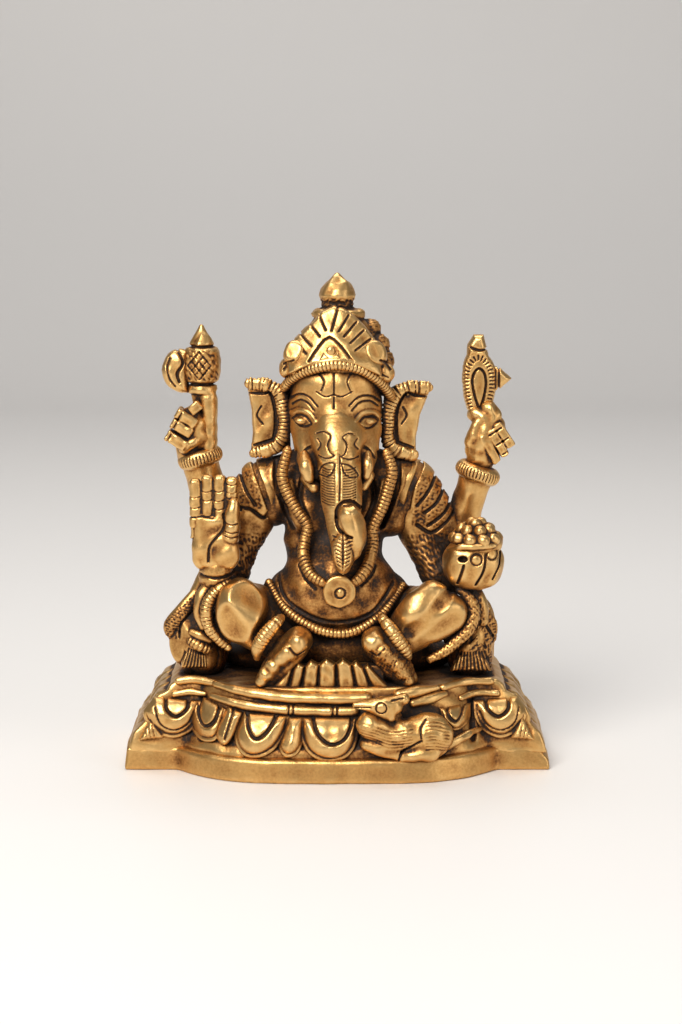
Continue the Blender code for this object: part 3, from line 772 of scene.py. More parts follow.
def lotus_pedestal():
    """The block behind the petals, with a zigzag of petals cut into its back and sides."""
    heights, halves = np.array(SIDE_PROFILE).T

    def distance(x, y, z):
        front = (pedestal_front(x, z) - y) * 0.8
        back = y - PEDESTAL_BACK + 0.16 * (z - PEDESTAL_FOOT)
        ends = (abs(x) - np.interp(z, heights, halves)) * 0.8
        return smooth_max(smooth_max(smooth_max(front, back, 0.8), ends, 0.8), z - SEAT_HEIGHT, 0.6)

    clay = Clay(1.5)
    clay.add(solid((-54, -29, 5), (54, PEDESTAL_BACK, SEAT_HEIGHT), distance))
    clay.above(4.6)
    clay.carve([(-60, 9.4), (60, 9.4)], 0.7, 0.8, 19, back=True)
    for x in range(-48, 49, 8):
        clay.carve(
            [(x, 19), (x + 3.4, 12.6), (x + 4, 11.2), (x + 4.6, 12.6), (x + 8, 19)], 0.9, 1, 19, back=True,
        )
    for y in (-8, 0, 8, 16):
        clay.carve([(y - 4, 19.4), (y, 11), (y + 4, 19.4)], 0.9, 1, plane="side")
    for side in (-1, 1):
        clay.carve(on_side([(34.4, 19), (34.9, 9)], side), 0.9, 1.3, -8)
    clay.carve([(-37, 12.4), (-22, 11.6), (4, 11.6)], 3.6, 1, -8)
    clay.grain(0.12, 5, 3)
    return clay


def petal(outline, heart, seed):
    """A petal over the edge of a second one, with a sunk line round its heart, if it has one."""
    outline = spline(outline, 4)
    foot = np.array((outline[:, 0].mean(), outline[:, 1].max()))
    under = foot + (outline - foot) * (1.10, 1.12)
    clay = Clay()
    clay.add(plate(under, 0, 1, 0.25, 0.8, pedestal_front))
    clay.add(plate(outline, 0, 3.1, 0.3, 4, pedestal_front), 0.2)
    if heart:
        clay.carve(heart, 0.55, 1.1, smooth=4)
    clay.grain(0.08, 3.4, seed)
    return clay


def lotus_petals():
    """Five petals on the bow, the third with a leaf beside it, and one on each wing with a pointed tip."""
    petals = (
        (
            1,
            [(-34.4, 19.2), (-37.8, 16), (-37.8, 12.4), (-34.8, 9.8), (-30.6, 11), (-28.6, 17.6)],
            [(-35, 18.6), (-35.6, 15.6), (-34, 12.8), (-31.4, 14.2), (-30, 17.6)],
        ),
        (
            2,
            [
                (-23.4, 17.2), (-25.7, 12.3), (-24.4, 8.4), (-21, 7), (-16.4, 8.9), (-13.4, 13),
                (-12.4, 16.8),
            ],
            [(-22.8, 17), (-22.4, 13.6), (-20.5, 11.3), (-17.8, 13), (-15.2, 16.8)],
        ),
        (
            4,
            [
                (-8.7, 16.4), (-8.9, 12.4), (-7, 8.5), (-3, 6.4), (1.4, 7), (4.2, 9.8), (5.2, 14.2),
                (5, 16.4),
            ],
            [(-6.2, 16.4), (-5, 12.8), (-1.8, 10.2), (1.6, 11.2), (3.4, 14), (3.8, 16.4)],
        ),
        (
            5,
            [(26.4, 17.8), (27.2, 14.4), (30.4, 12.3), (33.6, 13.9), (34.2, 17.8)],
            [(28, 17.8), (28.4, 15.9), (30.2, 14.4), (31.8, 15.9), (32.2, 17.8)],
        ),
    )
    for number, edge, heart in petals:
        cast(f"lotus_petal_{number}", petal(edge, heart, number))
    edge = [(-12.4, 16.4), (-13.8, 12.4), (-14.6, 9.4), (-13, 7.5), (-10.6, 7.9), (-8.9, 10.4), (-8.6, 16.4)]
    narrow = petal(edge, None, 3)
    leaf = spline([(-27.8, 18.2), (-31, 12.6), (-30.6, 9.6), (-28.4, 8.6), (-26, 11.4), (-23.8, 17)], 4)
    narrow.add(plate(leaf, 0, 2.8, 0.3, 3, pedestal_front))
    narrow.carve([(-26.4, 17.4), (-28.6, 10.4)], 0.4, 0.7)
    cast("lotus_petal_3", narrow)
    for name, side in SIDES:
        edge = [(46.2, 18.8), (48.4, 14.9), (45.8, 10.9), (42, 9.4), (38.2, 10.9), (35.9, 14.4), (35.6, 18.2)]
        inner = [(44.2, 18.4), (43.8, 16), (41.4, 14.4), (38.8, 16), (38.2, 18.2)]
        if side < 0:
            edge = [(x + 0.12 * (x - 40) * (x > 40), z) for x, z in edge]
        wing = petal(on_side(edge, side), on_side(inner, side), 6)
        wing.carve(
            on_side([(46.9, 16.6), (45.4, 12.4), (41.9, 10.8), (38.4, 12.4), (36.6, 15.6)], side), 0.3, 0.5,
        )
        wing.add(
            plate(on_side([(47.6, 14.8), (51.2, 7.8), (44.4, 8.4)], side), 0, 1.9, 0.2, 1.8, pedestal_front)
        )
        for step in range(3):
            x = 48 + step
            wing.carve(on_side([(x, 13.2 - step), (x - 1.2, 8.2)], side), 0.25, 0.35)
        cast(name + "_wing_petal", wing)


def front_line(points, out):
    """Points in X and Z put on the pedestal's front, standing proud of it."""
    return [(x, float(pedestal_front(x, z)) - out, z) for x, z in points]


def seat_rims():
    """Two mouldings on the bow of the seat and short ones on the wings. They stop short of the mouse."""
    upper = Clay()
    curve = [(x, 20.7 + 2 * (x / 31) ** 2) for x in np.linspace(-31, 7.5, 9)]
    upper.tube(front_line(curve, 0.1), [1, 1.2, 1.5] + [1.6] * 6, smooth=3, flat=1.3)
    upper.tube(front_line([(15.6, 21.3), (20.4, 22), (25.6, 22.6)], 0.1), (1.5, 1.6, 0.7))
    upper.tube(front_line([(-41, 22.8), (-37, 23.2), (-31.4, 22.8)], 0), (1, 1.2, 0.9))
    upper.tube(front_line([(27.2, 22.4), (33, 22.8), (39.6, 22.7)], 0), (1, 1.1, 1))
    lower = Clay()
    curve = [(x, 17.5 + 2.2 * (x / 32) ** 2) for x in np.linspace(-32, 4.5, 9)]
    lower.tube(front_line(curve, 0.3), [0.9, 1.2] + [1.35] * 7, smooth=3)
    lower.tube(front_line([(19.4, 19.2), (23.4, 20), (27.6, 20.9)], 0.2), (1.2, 1.4, 0.8))
    lower.tube(front_line([(-42, 19.4), (-38, 20), (-34, 19.8)], 0), (0.9, 1.1, 0.8))
    lower.tube(front_line([(31.8, 19.2), (36, 19.8), (41.2, 19.6)], 0), (0.9, 1.1, 0.9))
    for x in (-12.4, -11.3, -1.2, -0.1):
        lower.carve([(x, 15), (x + 0.3, 21)], 0.3, 0.5)
    for name, clay in (("upper", upper), ("lower", lower)):
        clay.grain(0.07, 5, 11)
        cast("seat_rim_" + name, clay)


def mouse_body():
    """The chest, haunch and legs of the mouse, its tail along the pedestal and its combed coat."""
    clay = Clay(0.85)
    clay.tube(((8.2, -29.4, 15), (12.4, -28.8, 12.8), (17, -28.2, 12.4)), (3.4, 3.1, 3.8), 0.8)
    clay.add(ball((23, -27, 11.8), (6.5, 4.6, 5.9)), 1.6)
    clay.add(ball((12, -27.6, 9.8), (6.6, 3.6, 2.8)), 1)
    clay.add(ball((11.6, -26.8, 16.4), (5, 3, 2.6)), 1)
    clay.tube(((16.4, -29.2, 6.5), (19.4, -29.6, 7.3), (24, -29.2, 7.6)), (1.1, 1.7, 2), 1)
    clay.tube(((7.2, -28.8, 9.6), (10.8, -29.2, 8.4), (15.4, -29, 7.2)), (1, 1.4, 1.2), 1)
    clay.tube(
        front_line([(28, 8.6), (32.1, 10.1), (34.2, 10.8), (37.2, 11.2)], 0.6), (1.2, 1.2, 0.9, 0.6), 0.5,
    )
    clay.carve([(22.4, 16.6), (21, 14.4), (21.2, 12)], 0.32, 0.4, -22)
    clay.carve([(21.3, 11.4), (18.6, 9.8), (16.4, 8.3), (15.6, 6)], 0.32, 0.5, -22)
    for row in range(6):
        z = 16.2 - row * 0.85
        clay.carve([(5.8, z), (9.4, z - 0.9), (13.6, z - 2.4), (19, z - 1.9)], 0.2, 0.13, -22)
    for row in range(9):
        z = 15.8 - row * 0.85
        clay.carve([(22.4, z), (25, z + 0.1), (28.4, z - 1)], 0.2, 0.12, -22)
    clay.grain(0.10, 3, 7)
    clay.above(3.8)
    return clay


def mouse_head():
    """A long snout with a ringed eye and an ear laid back."""
    clay = Clay(0.75)
    clay.add(ball((12.4, -29.2, 19.6), (4.2, 2.7, 2.8), tilt=-6))
    clay.tube(((11, -29.6, 20), (7.6, -30, 20.3), (4.6, -30.2, 20.4)), (2.2, 1.4, 0.7), 1)
    clay.tube(((12.6, -29.6, 18), (13.6, -30, 17.2)), (1.6, 1.2), 1)
    clay.tube(((14, -28.8, 20.8), (16.8, -28.4, 21.6)), (1.7, 1.5), 0.6)
    clay.carve(circle(11.1, 19.9, 1.35), 0.26, 0.4, -20)
    clay.carve([(13.8, 21.6), (16.6, 22)], 0.3, 0.45, -20)
    clay.carve([(4.6, 19.9), (8.4, 20)], 0.28, 0.45, -20)
    clay.grain(0.06, 2.6, 8)
    return clay


def plinth():
    cast_each(plinth_slab, lotus_pedestal, mouse_body, mouse_head)
    lotus_petals()
    seat_rims()


# ---------------------------------------------------------------- legs and dress


def right_leg():
    """A thigh, a knee with three flat facets and a shin turned inwards."""
    clay = Clay(1.2)
    clay.tube([(-9, 2, 32), (-17, -4, 37), (-23, -9, 40)], (8.5, 8.5, 7.6), smooth=3)
    clay.add(ball((-24.6, -13.4, 41.2), (6.8, 8.4, 8.6), tilt=-8), 1.2)
    clay.flatten((-25.6, -19.6, 40.4), (-0.40, -0.86, -0.30), 0.4)
    clay.flatten((-23.6, -19.4, 43.4), (0.36, -0.78, 0.50), 0.4)
    clay.flatten((-24, -20.2, 42.6), (0.10, -0.98, 0.10), 0.5)
    clay.tube([(-21, -14, 35), (-16, -15, 33), (-12, -15, 31)], (4.4, 4, 3.6), 1.2, smooth=3)
    clay.dull = -0.04
    clay.grain(0.16, 6, 5)
    return clay


def left_leg():
    """A thigh, a knee of two long swellings with a hollow between them, and a shin."""
    clay = Clay(1.2)
    clay.tube([(9, 2, 32), (17, -4, 37), (24, -9, 39.5)], (8.5, 8.5, 7.4), smooth=3)
    clay.tube([(17.2, -15.6, 38.4), (20.6, -16.2, 42), (24.4, -14.6, 45.2)], (3.6, 4.6, 4.2), 1.2)
    clay.tube([(19.6, -15, 36), (24.4, -14.4, 38.4), (28, -13.2, 40.8)], (3.6, 5.2, 5.6), 2.6)
    clay.tube([(21, -14, 35), (16, -15, 33), (12, -15, 31)], (3.8, 3.8, 3.6), 1, smooth=3)
    clay.carve([(27.8, 45.6), (24.9, 42.1), (21.7, 39), (18.6, 36.8)], 2.2, 0.8, -10)
    clay.flatten((28.2, -18, 40), (0.35, -0.86, -0.30), 1)
    clay.dull = -0.04
    clay.grain(0.16, 6, 6)
    return clay


def foot(side):
    """A sole that stands on its outer edge, with a row of toes down its front."""
    clay = Clay(0.85)
    clay.tube(on_side([(9.8, -18.6, 34.6), (13.2, -18.6, 30.6), (17.6, -18.6, 24.6)], side), (3.6, 4.2, 3))
    toes = (
        (10, -21.4, 34.4, 2.9), (12.4, -22.2, 32.2, 2.4), (14.3, -22.2, 30.6, 2.1),
        (16.3, -22, 28.6, 2), (18, -21.8, 26.5, 1.9), (19.2, -21.4, 24.4, 1.6),
    )
    if side > 0:
        toes = [(x - 0.8 - 0.10 * step, y, z + 0.2, r) for step, (x, y, z, r) in enumerate(toes)]
    for x, y, z, radius in toes:
        clay.add(ball((x * side, y, z), radius), 0.8)
    clay.carve(on_side([(8.4, 32.6), (10.2, 31.8), (12, 33.6)], side), 0.35, 0.4, -15)
    if side > 0:
        clay.stipple([(6, 24), (20, 24), (20, 34), (6, 34)], -15, 0.09, 1, 9)
    clay.grain(0.10, 3, 12)
    clay.above(SEAT_HEIGHT - 0.4)
    return clay


def anklet(side):
    """A ribbed ring over the front of the ankle."""
    clay = Clay(0.6)
    if side < 0:
        path = [
            (-14.2, -18, 40.4), (-16.2, -20.4, 38.8), (-18.6, -21.2, 36), (-20.2, -20.8, 33),
            (-20.4, -19.6, 30.4),
        ]
    else:
        path = [
            (11.2, -18, 40.6), (13.2, -20.4, 38.4), (15.4, -21.2, 35.2), (17.2, -20.8, 32.6),
            (18.2, -19.6, 30.4),
        ]
    clay.tube(path, (1.2, 1.7, 1.9, 1.7, 1), pitch=1, cut=0.28)
    return clay


def right_knee_hem():
    """The ribbed hem of the dress round the knee, and the cloth that hangs behind it."""
    clay = Clay(0.7)
    band = [
        (-27.6, -13, 48.6), (-31.2, -14, 46.2), (-33.4, -14.2, 42.4), (-33.2, -14.2, 38.2),
        (-31.4, -14.2, 34.8), (-28, -14, 31.6),
    ]
    clay.tube(band, (1.2, 1.6, 1.7, 1.6, 1.4, 1), pitch=0.95, cut=0.26)
    clay.tube(
        [(-31.6, -10, 48.4), (-34.6, -11.6, 45), (-35.6, -11.8, 40.6), (-34.6, -12, 36.6)],
        (1.6, 1.7, 1.5, 0.9),
    )
    clay.tube([(-32.2, -6.4, 50), (-34.6, -7.4, 46.6), (-37.4, -8.4, 42)], (3.4, 2.8, 1.8), 0.8)
    clay.tube([(-30.4, -9.4, 37.6), (-29, -9.6, 33.6)], (3, 2.2), 0.8)
    clay.grain(0.08, 3, 13)
    return clay


def left_knee_hem():
    """The punched hem of the dress round the knee, and the cloth that hangs behind it."""
    clay = Clay(0.7)
    band = [
        (31.6, -12.6, 46.6), (34.4, -13, 43.6), (35.2, -13.2, 40.2), (33.8, -13.8, 36.6), (31.2, -14.2, 33.8),
        (27.8, -14.6, 31), (24, -14.8, 28.8),
    ]
    clay.tube(band, (1.2, 1.5, 1.6, 1.6, 1.5, 1.4, 1))
    clay.tube([(33, -9, 48), (36.6, -9.4, 42.8), (37.6, -9.8, 38)], (2.4, 2.2, 1.6), 0.6)
    clay.tube([(30.4, -10, 38.6), (30, -10.6, 33.6)], (3.4, 2.6), 0.8)
    clay.stipple([(20, 26), (33, 30), (39, 38), (36, 50), (30, 47), (32, 40), (26, 34)], -6, 0.10, 1, 21)
    return clay


def dhoti_lap():
    """The cloth over the lap and round the back, in broad pleats."""
    clay = Clay(2)
    clay.add(ball((0, 3, 29), (24, 14.5, 9)))
    clay.add(ball((0, 6, 26), (32, 12.5, 6)), 2)
    # The lap is dulled darker all over: partly patina, partly painted shade under the belly and between the
    # knees.
    clay.dull = 0.25
    clay.above(FIGURE_FOOT)
    for x in np.arange(-24, 25, 4):
        clay.carve([(x * 1.2, 23), (x * 0.9, 30), (x * 0.6, 38)], 0.8, 0.8, 6, back=True)
    return clay


def dhoti_pleats():
    """The fan of pleats in front of the lap. Each panel has its own peak."""
    clay = Clay(0.75)
    feet = (-17.6, -12.6, -9.3, -5, 0, 4.9, 8.9, 14.4)
    tops = (
        (-13.2, 27), (-11.2, 28.4), (-8.2, 28.9), (-4.6, 29.4), (-0.3, 29.6), (3.7, 29.4), (6.7, 28.6),
        (9.8, 27.4),
    )
    for index in range(7):
        (x0, z0), (x1, z1) = tops[index], tops[index + 1]
        peak = ((x0 + x1) / 2 - 0.3, (z0 + z1) / 2 + 1)
        outline = [
            (feet[index], SEAT_HEIGHT - 1), (feet[index + 1], SEAT_HEIGHT - 1), (x1, z1 - 0.5), peak,
            (x0, z0 - 0.5),
        ]
        clay.add(plate(outline, -20 + 0.012 * (index - 3) ** 2, 2, 0.4, 1.2))
    clay.add(box((-1.4, -18.2, 25.4), (13.4, 2, 2.9)), 0.2)
    clay.grain(0.10, 3, 14)
    clay.above(FIGURE_FOOT)
    return clay


def bolster(side):
    """A round cushion beside the hip, pleated towards its ends."""
    clay = Clay(1.4)
    clay.add(ball((35.4 * side, 1, 32), (6.2, 12.5, 11), tilt=8 * side))
    clay.add(ball((34.8 * side, 0, 27), (6, 11.5, 6)), 1.5)
    clay.above(FIGURE_FOOT)
    clay.dull = 0.15
    for y in range(-9, 13, 3):
        clay.carve([(y, 24), (y * 0.9 + 0.6, 33), (y * 0.6, 43)], 0.6, 0.7, plane="side")
    clay.grain(0.12, 5, 15)
    return clay


def right_sash_tassel():
    """A punched sash that hangs over a folded knot, with a fringed end."""
    clay = Clay(0.7)
    clay.add(ball((-41, -7.4, 31), (2.6, 4.2, 5.2), tilt=-8))
    clay.add(ball((-38.4, -8.4, 37), (3.4, 3.8, 4)), 0.2)
    clay.add(ball((-36.6, -9.8, 33.2), (4.4, 3.2, 4.6)), 0.2)
    clay.flatten((-40.6, -10.6, 32), (-0.50, -0.86, 0), 0.3)
    clay.flatten((-37.6, -11.7, 35), (0.16, -0.90, 0.40), 0.3)
    clay.tube(
        [(-36.2, -8.6, 45.2), (-40, -9.8, 40.4), (-43, -9, 36.4), (-42.6, -8, 33.6)], (1.6, 2, 2, 1.4),
        flat=0.8,
    )
    clay.stipple([(-36, 46), (-45, 38), (-45, 33), (-41.4, 33), (-41, 36), (-36, 41)], 0, 0.11, 1, 22)
    clay.carve([(-38, 40), (-40.4, 37), (-40.8, 33.6)], 0.3, 0.5, -4)
    clay.tube([(-37.4, -11.4, 35.2), (-35.2, -12.2, 34.4), (-33, -11.8, 33.2)], (1, 1.2, 0.9))
    clay.tube(
        [(-38, -11.2, 33.2), (-35.6, -12.4, 31.8), (-33, -11.8, 30.6)], (1.2, 1.5, 1.1), pitch=1, cut=0.25,
    )
    skirt = [(-38.6, 31.4), (-33.6, 29.6), (-33.2, 25.4), (-40.6, 25.4), (-40.4, 27.6)]
    clay.add(plate(skirt, -9.8, 2.6, 0.4, 1.2))
    for step in range(8):
        foot_x = -40 + step * 0.95
        clay.carve([(-38.2 + step * 0.62, 31 - step * 0.2), (foot_x, 25.4)], 0.3, 0.42, -8)
    clay.add(ball((-37.6, -5, 27), (4, 5, 4.6)))
    clay.dull = 0.10
    clay.above(FIGURE_FOOT)
    return clay


def left_sash_tassel():
    """A thin sash over a knot with crossing folds, with a fringed end."""
    clay = Clay(0.7)
    clay.tube(
        [(35.6, -6.6, 43), (38.2, -7.8, 39.4), (40.2, -7.8, 36.4), (40.2, -7.2, 32.6)],
        (1.4, 1.5, 1.4, 1.2),
    )
    clay.add(ball((37.2, -8.2, 34.6), (3.6, 3.6, 4.8)), 0.2)
    clay.add(ball((35.6, -9.6, 30.6), (4.4, 3.2, 3.6)), 0.2)
    clay.flatten((38.4, -10.4, 33), (0.42, -0.90, 0.10), 0.4)
    crossing = (((34.4, 39), (38.4, 31)), ((38.8, 38), (34.2, 32.6)), ((36.4, 40), (40.4, 33.6)))
    clay.carve_each(crossing, 0.4, 0.6, -5)
    skirt = [(31.6, 29.4), (36.4, 30.2), (39.4, 27.2), (40.6, 24.6), (29.2, 24.6), (30.2, 27.2)]
    clay.add(plate(skirt, -9.8, 2.6, 0.4, 1.2))
    for step in range(10):
        clay.carve([(31.4 + step * 0.75, 30), (30.2 + step * 1.1, 24.4)], 0.28, 0.4, -8)
    clay.add(ball((36.4, -5, 27.4), (4.2, 5, 5)))
    clay.dull = 0.12
    clay.stipple([(30, 24), (42, 24), (42, 44), (34, 44), (34, 32)], 0, 0.09, 1, 23)
    clay.above(FIGURE_FOOT)
    return clay


def lower_body():
    cast_each(right_leg, left_leg, right_knee_hem, left_knee_hem, right_sash_tassel, left_sash_tassel)
    cast_sides(foot, anklet, bolster)
    cast_each(dhoti_lap, dhoti_pleats)


# ---------------------------------------------------------------- body


def torso():
    """The belly over the belt, the chest and the shoulders. The back has a spine, a thread and folds."""
    clay = Clay(1.2)
    clay.add(ball((0, -5.4, 47), (14.6, 12.6, 12.2)))
    clay.add(ball((0, -4, 43), (19, 13.6, 10.6)), 2)
    clay.add(ball((0, -1, 60), (12.4, 9.5, 11)), 3)
    clay.add(ball((0, -0.5, 70), (15.4, 9.5, 9)), 3)
    for side in (1, -1):
        clay.add(ball((7.8 * side, -7.6, 65.4), (5, 3.6, 5.2)), 2)
    for side in (1, -1):
        clay.add(ball((16.4 * side, 1.5, 66.5), (4.6, 6, 5.5)), 2)
    clay.tube(((-19, 0.5, 72.6), (0, 0, 76), (19, 0.5, 72.6)), (5.8, 7.4, 5.8), 3)
    clay.add(ball((-10.6, -1, 58), (3, 6, 6)), 2)
    clay.add(ball((14.6, 0.5, 63.4), (4.6, 6, 5)), 2)
    clay.carve([(-15.4, 50), (-13, 44.3), (-5.8, 40), (0.7, 38.9), (8.7, 41.1), (14.3, 47.9)], 0.45, 0.8, -6)
    clay.carve([(-9.6, 53), (-8, 50.2), (-5.6, 47.6)], 0.45, 0.7, -6)
    clay.carve([(9.8, 52.8), (8.6, 50.6), (6.2, 48.6)], 0.4, 0.6, -6)
    for side in (-1, 1):
        clay.carve(on_side([(15.6, 80), (15.6, 73.8), (13.8, 67.5), (11.4, 62)], side), 0.9, 1.3, -2)
        clay.carve(on_side([(8.4, 76), (9.6, 70), (7.6, 64.6)], side), 0.8, 1, -2)
        clay.carve(on_side([(11.8, 74), (11, 70), (9.6, 67)], side), 0.9, -0.7, -2)
    clay.carve([(0, 80), (0, 62), (0, 50)], 1.8, 0.7, 4, back=True)
    for lift in (0, 2.6):
        clay.carve([(-16, 74 + lift), (-4, 66 + lift), (15, 52 + lift)], 0.8, -0.5, 4, back=True)
    for step in range(3):
        z = 53 - step * 2.4
        clay.carve([(-13, z + 1), (0, z - 1), (13, z + 1)], 0.6, 0.5, 4, back=True)
    # The torso is dulled darker all over: partly patina, partly painted shade, as it sits back behind the
    # arms and trunk.
    clay.dull = 0.31
    clay.grain(0.16, 5, 17)
    return clay


def belt():
    """A ribbed cord under the belly, carried round the back."""
    clay = Clay(0.7)
    front = [
        (-17.6, -8, 47.6), (-13.9, -13.6, 42.6), (-9.4, -16.6, 39.3), (-4.3, -17.9, 37), (0.7, -18.2, 36.2),
        (5.1, -17.9, 37), (9.4, -16.6, 39.3), (13.2, -13.9, 42.4), (16.9, -8.6, 46.9),
    ]
    clay.tube(front, (1, 1.15, 1.2, 1.25, 1.25, 1.25, 1.2, 1.15, 1), pitch=1, cut=0.30)
    back = [
        (16.9, -8.6, 46.9), (18.6, -3.4, 44.4), (16.8, 2, 44.6), (11.6, 6.6, 45), (0, 9.2, 45.4),
        (-11.6, 6.6, 45), (-16.8, 2, 44.6), (-18.6, -3.4, 44.4),
    ]
    clay.tube(back + [(-17.6, -8, 47.6)], 1.1, pitch=1, cut=0.30)
    clay.dull = 0.12
    return clay


def garland():
    """A ribbed cord from each shoulder down to the pendant."""
    clay = Clay(0.7)
    right = [
        (-12.6, -10.4, 82.6), (-14, -11, 76.4), (-12.8, -11.2, 71.8), (-10.4, -12.2, 67.4),
        (-7.6, -12.8, 63.4), (-8.2, -13, 59.6), (-8.6, -14.8, 56), (-6.8, -17.2, 51.6), (-3.4, -18.8, 49.4),
    ]
    left = [
        (12.6, -10.4, 82), (14, -11, 77.2), (13, -11.2, 72.6), (11.4, -12, 67.6), (9.2, -12.6, 62.8),
        (9.2, -13.2, 58.6), (8, -15.8, 54), (6, -18, 51), (4, -18.8, 49.4),
    ]
    for path in (right, left):
        clay.tube(path, (1.3, 1.5, 1.6, 1.5, 1.4, 1.5, 1.6, 1.5, 1.2), pitch=1, cut=0.26, flat=0.85)
    clay.dull = 0.26
    return clay


def disc(x, z, radius, near, far):
    """A round plate that faces forwards."""

    def distance(px, py, pz):
        rim = np.hypot(px - x, pz - z) - radius
        return smooth_max(rim, abs(py - (near + far) / 2) - (far - near) / 2, 0.7)

    return solid((x - radius, near, z - radius), (x + radius, far, z + radius), distance)


def pendant():
    clay = Clay(0.7)
    x, z = 0.5, 47.4
    clay.dull = 0.10
    clay.add(disc(x, z, 4.2, -20.4, -16))
    clay.carve(circle(x + 0.3, z - 0.3, 1.3, 16), 0.28, 0.4)
    clay.add(ball((x + 0.3, -20.3, z - 0.3), (0.9, 0.5, 0.9)), 0.3)
    clay.grain(0.08, 3, 18)
    return clay


def upper_arm(side):
    """The shoulder under a folded sleeve, and the arm down to the elbow."""
    clay = Clay(0.85)
    clay.add(ball((19 * side, 1, 71.6), (6.9, 6.6, 6.6)))
    path = on_side([(19.4, 1, 72), (24, 2, 65), (27.4, 3, 56), (28.8, 2, 48.6)], side)
    clay.add(ball((18.4 * side, 0.5, 63.8 + (side < 0) * 2), (4.2, 4.6, 4.4)), 2)
    clay.tube(path, (6.4, 6.3, 5.6, 5), 2)
    out = 2 if side < 0 else 0
    inner = on_side([(19 + out, 0.5, 62), (23.4 + out, -0.5, 54.4), (26 + out * 0.6, -2, 49.4)], side)
    clay.tube(inner, (4.4, 4.3, 4.6), 1.5, smooth=3)
    if side > 0:
        clay.carve([(21.8, 77.4), (19.4, 72.3), (18.1, 66.7)], 0.8, 1.2, 6)
        folds = (
            [(25.5, 74.6), (23.6, 71), (20.7, 67.2)],
            [(28.3, 72.4), (25.9, 68), (22.6, 65.2)],
            [(30.4, 69.3), (27.7, 65), (23.6, 61.8)],
            [(31.4, 66), (28.1, 62.4), (24.4, 59.9), (20.7, 62)],
        )
        rough = [(20.8, 76), (31, 73), (33, 66), (28, 60.5), (19, 62)]
    else:
        clay.carve([(-22.2, 79.2), (-19.8, 73.4), (-17.6, 66.7)], 0.7, 1.2, 6)
        folds = (
            [(-25.4, 75.6), (-23.3, 70.8), (-21.1, 67.3)],
            [(-17.2, 65.9), (-19.2, 63.9), (-22.6, 66.3), (-27, 66.8)],
            [(-28.2, 72.6), (-26.6, 69), (-25, 66)],
        )
        rough = [(-20.4, 77), (-31, 74), (-33, 66), (-23, 65.4), (-19, 66)]
    clay.carve_each(folds, 0.5, 0.8, 6)
    clay.stipple(rough, 6, 0.08, 1, 24)
    lower = [(18, 60), (34, 60), (36, 44), (18, 44)]
    clay.stipple(on_side(lower, side), 8, 0.12, 1.4, 25)
    for step in range(3):
        z = 72 - step * 3.2
        clay.carve(on_side([(14, z), (22, z - 3), (33, z - 2)], side), 0.6, 0.6, 6, back=True)
    clay.dull = 0.08
    clay.grain(0.14, 4, 23)
    return clay


def rear_forearm(side):
    """The forearm that rises from the elbow to the bangle."""
    clay = Clay(1.2)
    if side < 0:
        clay.tube(
            [(-28.6, 5.4, 59), (-32.4, 4.6, 66), (-34.6, 3, 73), (-35.6, 2.4, 78)], (5.2, 5, 4.7, 4.6), 1,
        )
    else:
        clay.tube([(29.6, 5.4, 56), (33, 4.4, 63), (35, 3, 69.6), (36.4, 2.4, 74)], (4.8, 4.5, 4.2, 4.4), 1)
    clay.grain(0.14, 5, 29)
    return clay


def rear_bangle(side):
    """A thick band on a slant, ribbed between two plain lips."""
    centre = np.array((-35.7, 1.8, 78.9) if side < 0 else (36.7, 1.8, 75))
    lean = math.radians(15 if side < 0 else 20)
    axis = np.array([-math.sin(lean) if side < 0 else math.sin(lean), 0, math.cos(lean)])

    def ring(x, y, z):
        wx, wy, wz = x - centre[0], y - centre[1], z - centre[2]
        along = wx * axis[0] + wz * axis[2]
        cross = wx * axis[2] - wz * axis[0]
        out = np.hypot(cross, wy)
        beat = abs((np.arctan2(wy, cross) * 6) % 1 - 0.5) * 2
        cut = 0.32 * np.clip(2.4 * beat - 1.2, 0, 1) * np.clip(2.6 * (1 - abs(along) / 1.4), 0, 1)
        barrel = np.hypot(np.maximum(out - 3.9, 0), along * 0.92) - 2.1
        return barrel + cut

    clay = Clay(0.7)
    clay.add(solid(centre - 7, centre + 7, ring))
    clay.grain(0.06, 3, 19)
    return clay


def right_rear_hand():
    """A fist of three square knuckles round the axe's shaft."""
    clay = Clay(0.75)
    clay.add(ball((-37.2, 0.6, 86.2), (4.6, 4.2, 6), tilt=-24))
    for x, z in ((-39.2, 90), (-40.4, 87.4), (-41.8, 84.2)):
        clay.add(box((x + 0.3, -1.2, z - 0.2), (3, 3.2, 1.4), 0.5, tilt=32), 0.1)
    clay.add(ball((-37.2, -1, 88.4), (3, 2.8, 4.2), tilt=-24), 0.6)
    clay.tube(((-35.6, -1.8, 84), (-37.6, -2.8, 83.4), (-39.6, -2.6, 81.8)), (1.3, 1.5, 1.4), 0.3)
    clay.tube(((-39, 0.6, 83.6), (-38, 1.4, 79.6)), (3.2, 3.6), 0.6)
    for x, z in ((-40.6, 90.2), (-42, 87.6), (-43.4, 84.6)):
        clay.carve([(x - 0.6, z - 1), (x + 0.6, z + 1.2)], 0.26, 0.35, 1)
    clay.add(box((-36.6, -2.2, 92.4), (1.7, 1.8, 1.3), 0.5, tilt=-40), 0.3)
    clay.grain(0.10, 2.6, 31)
    return clay


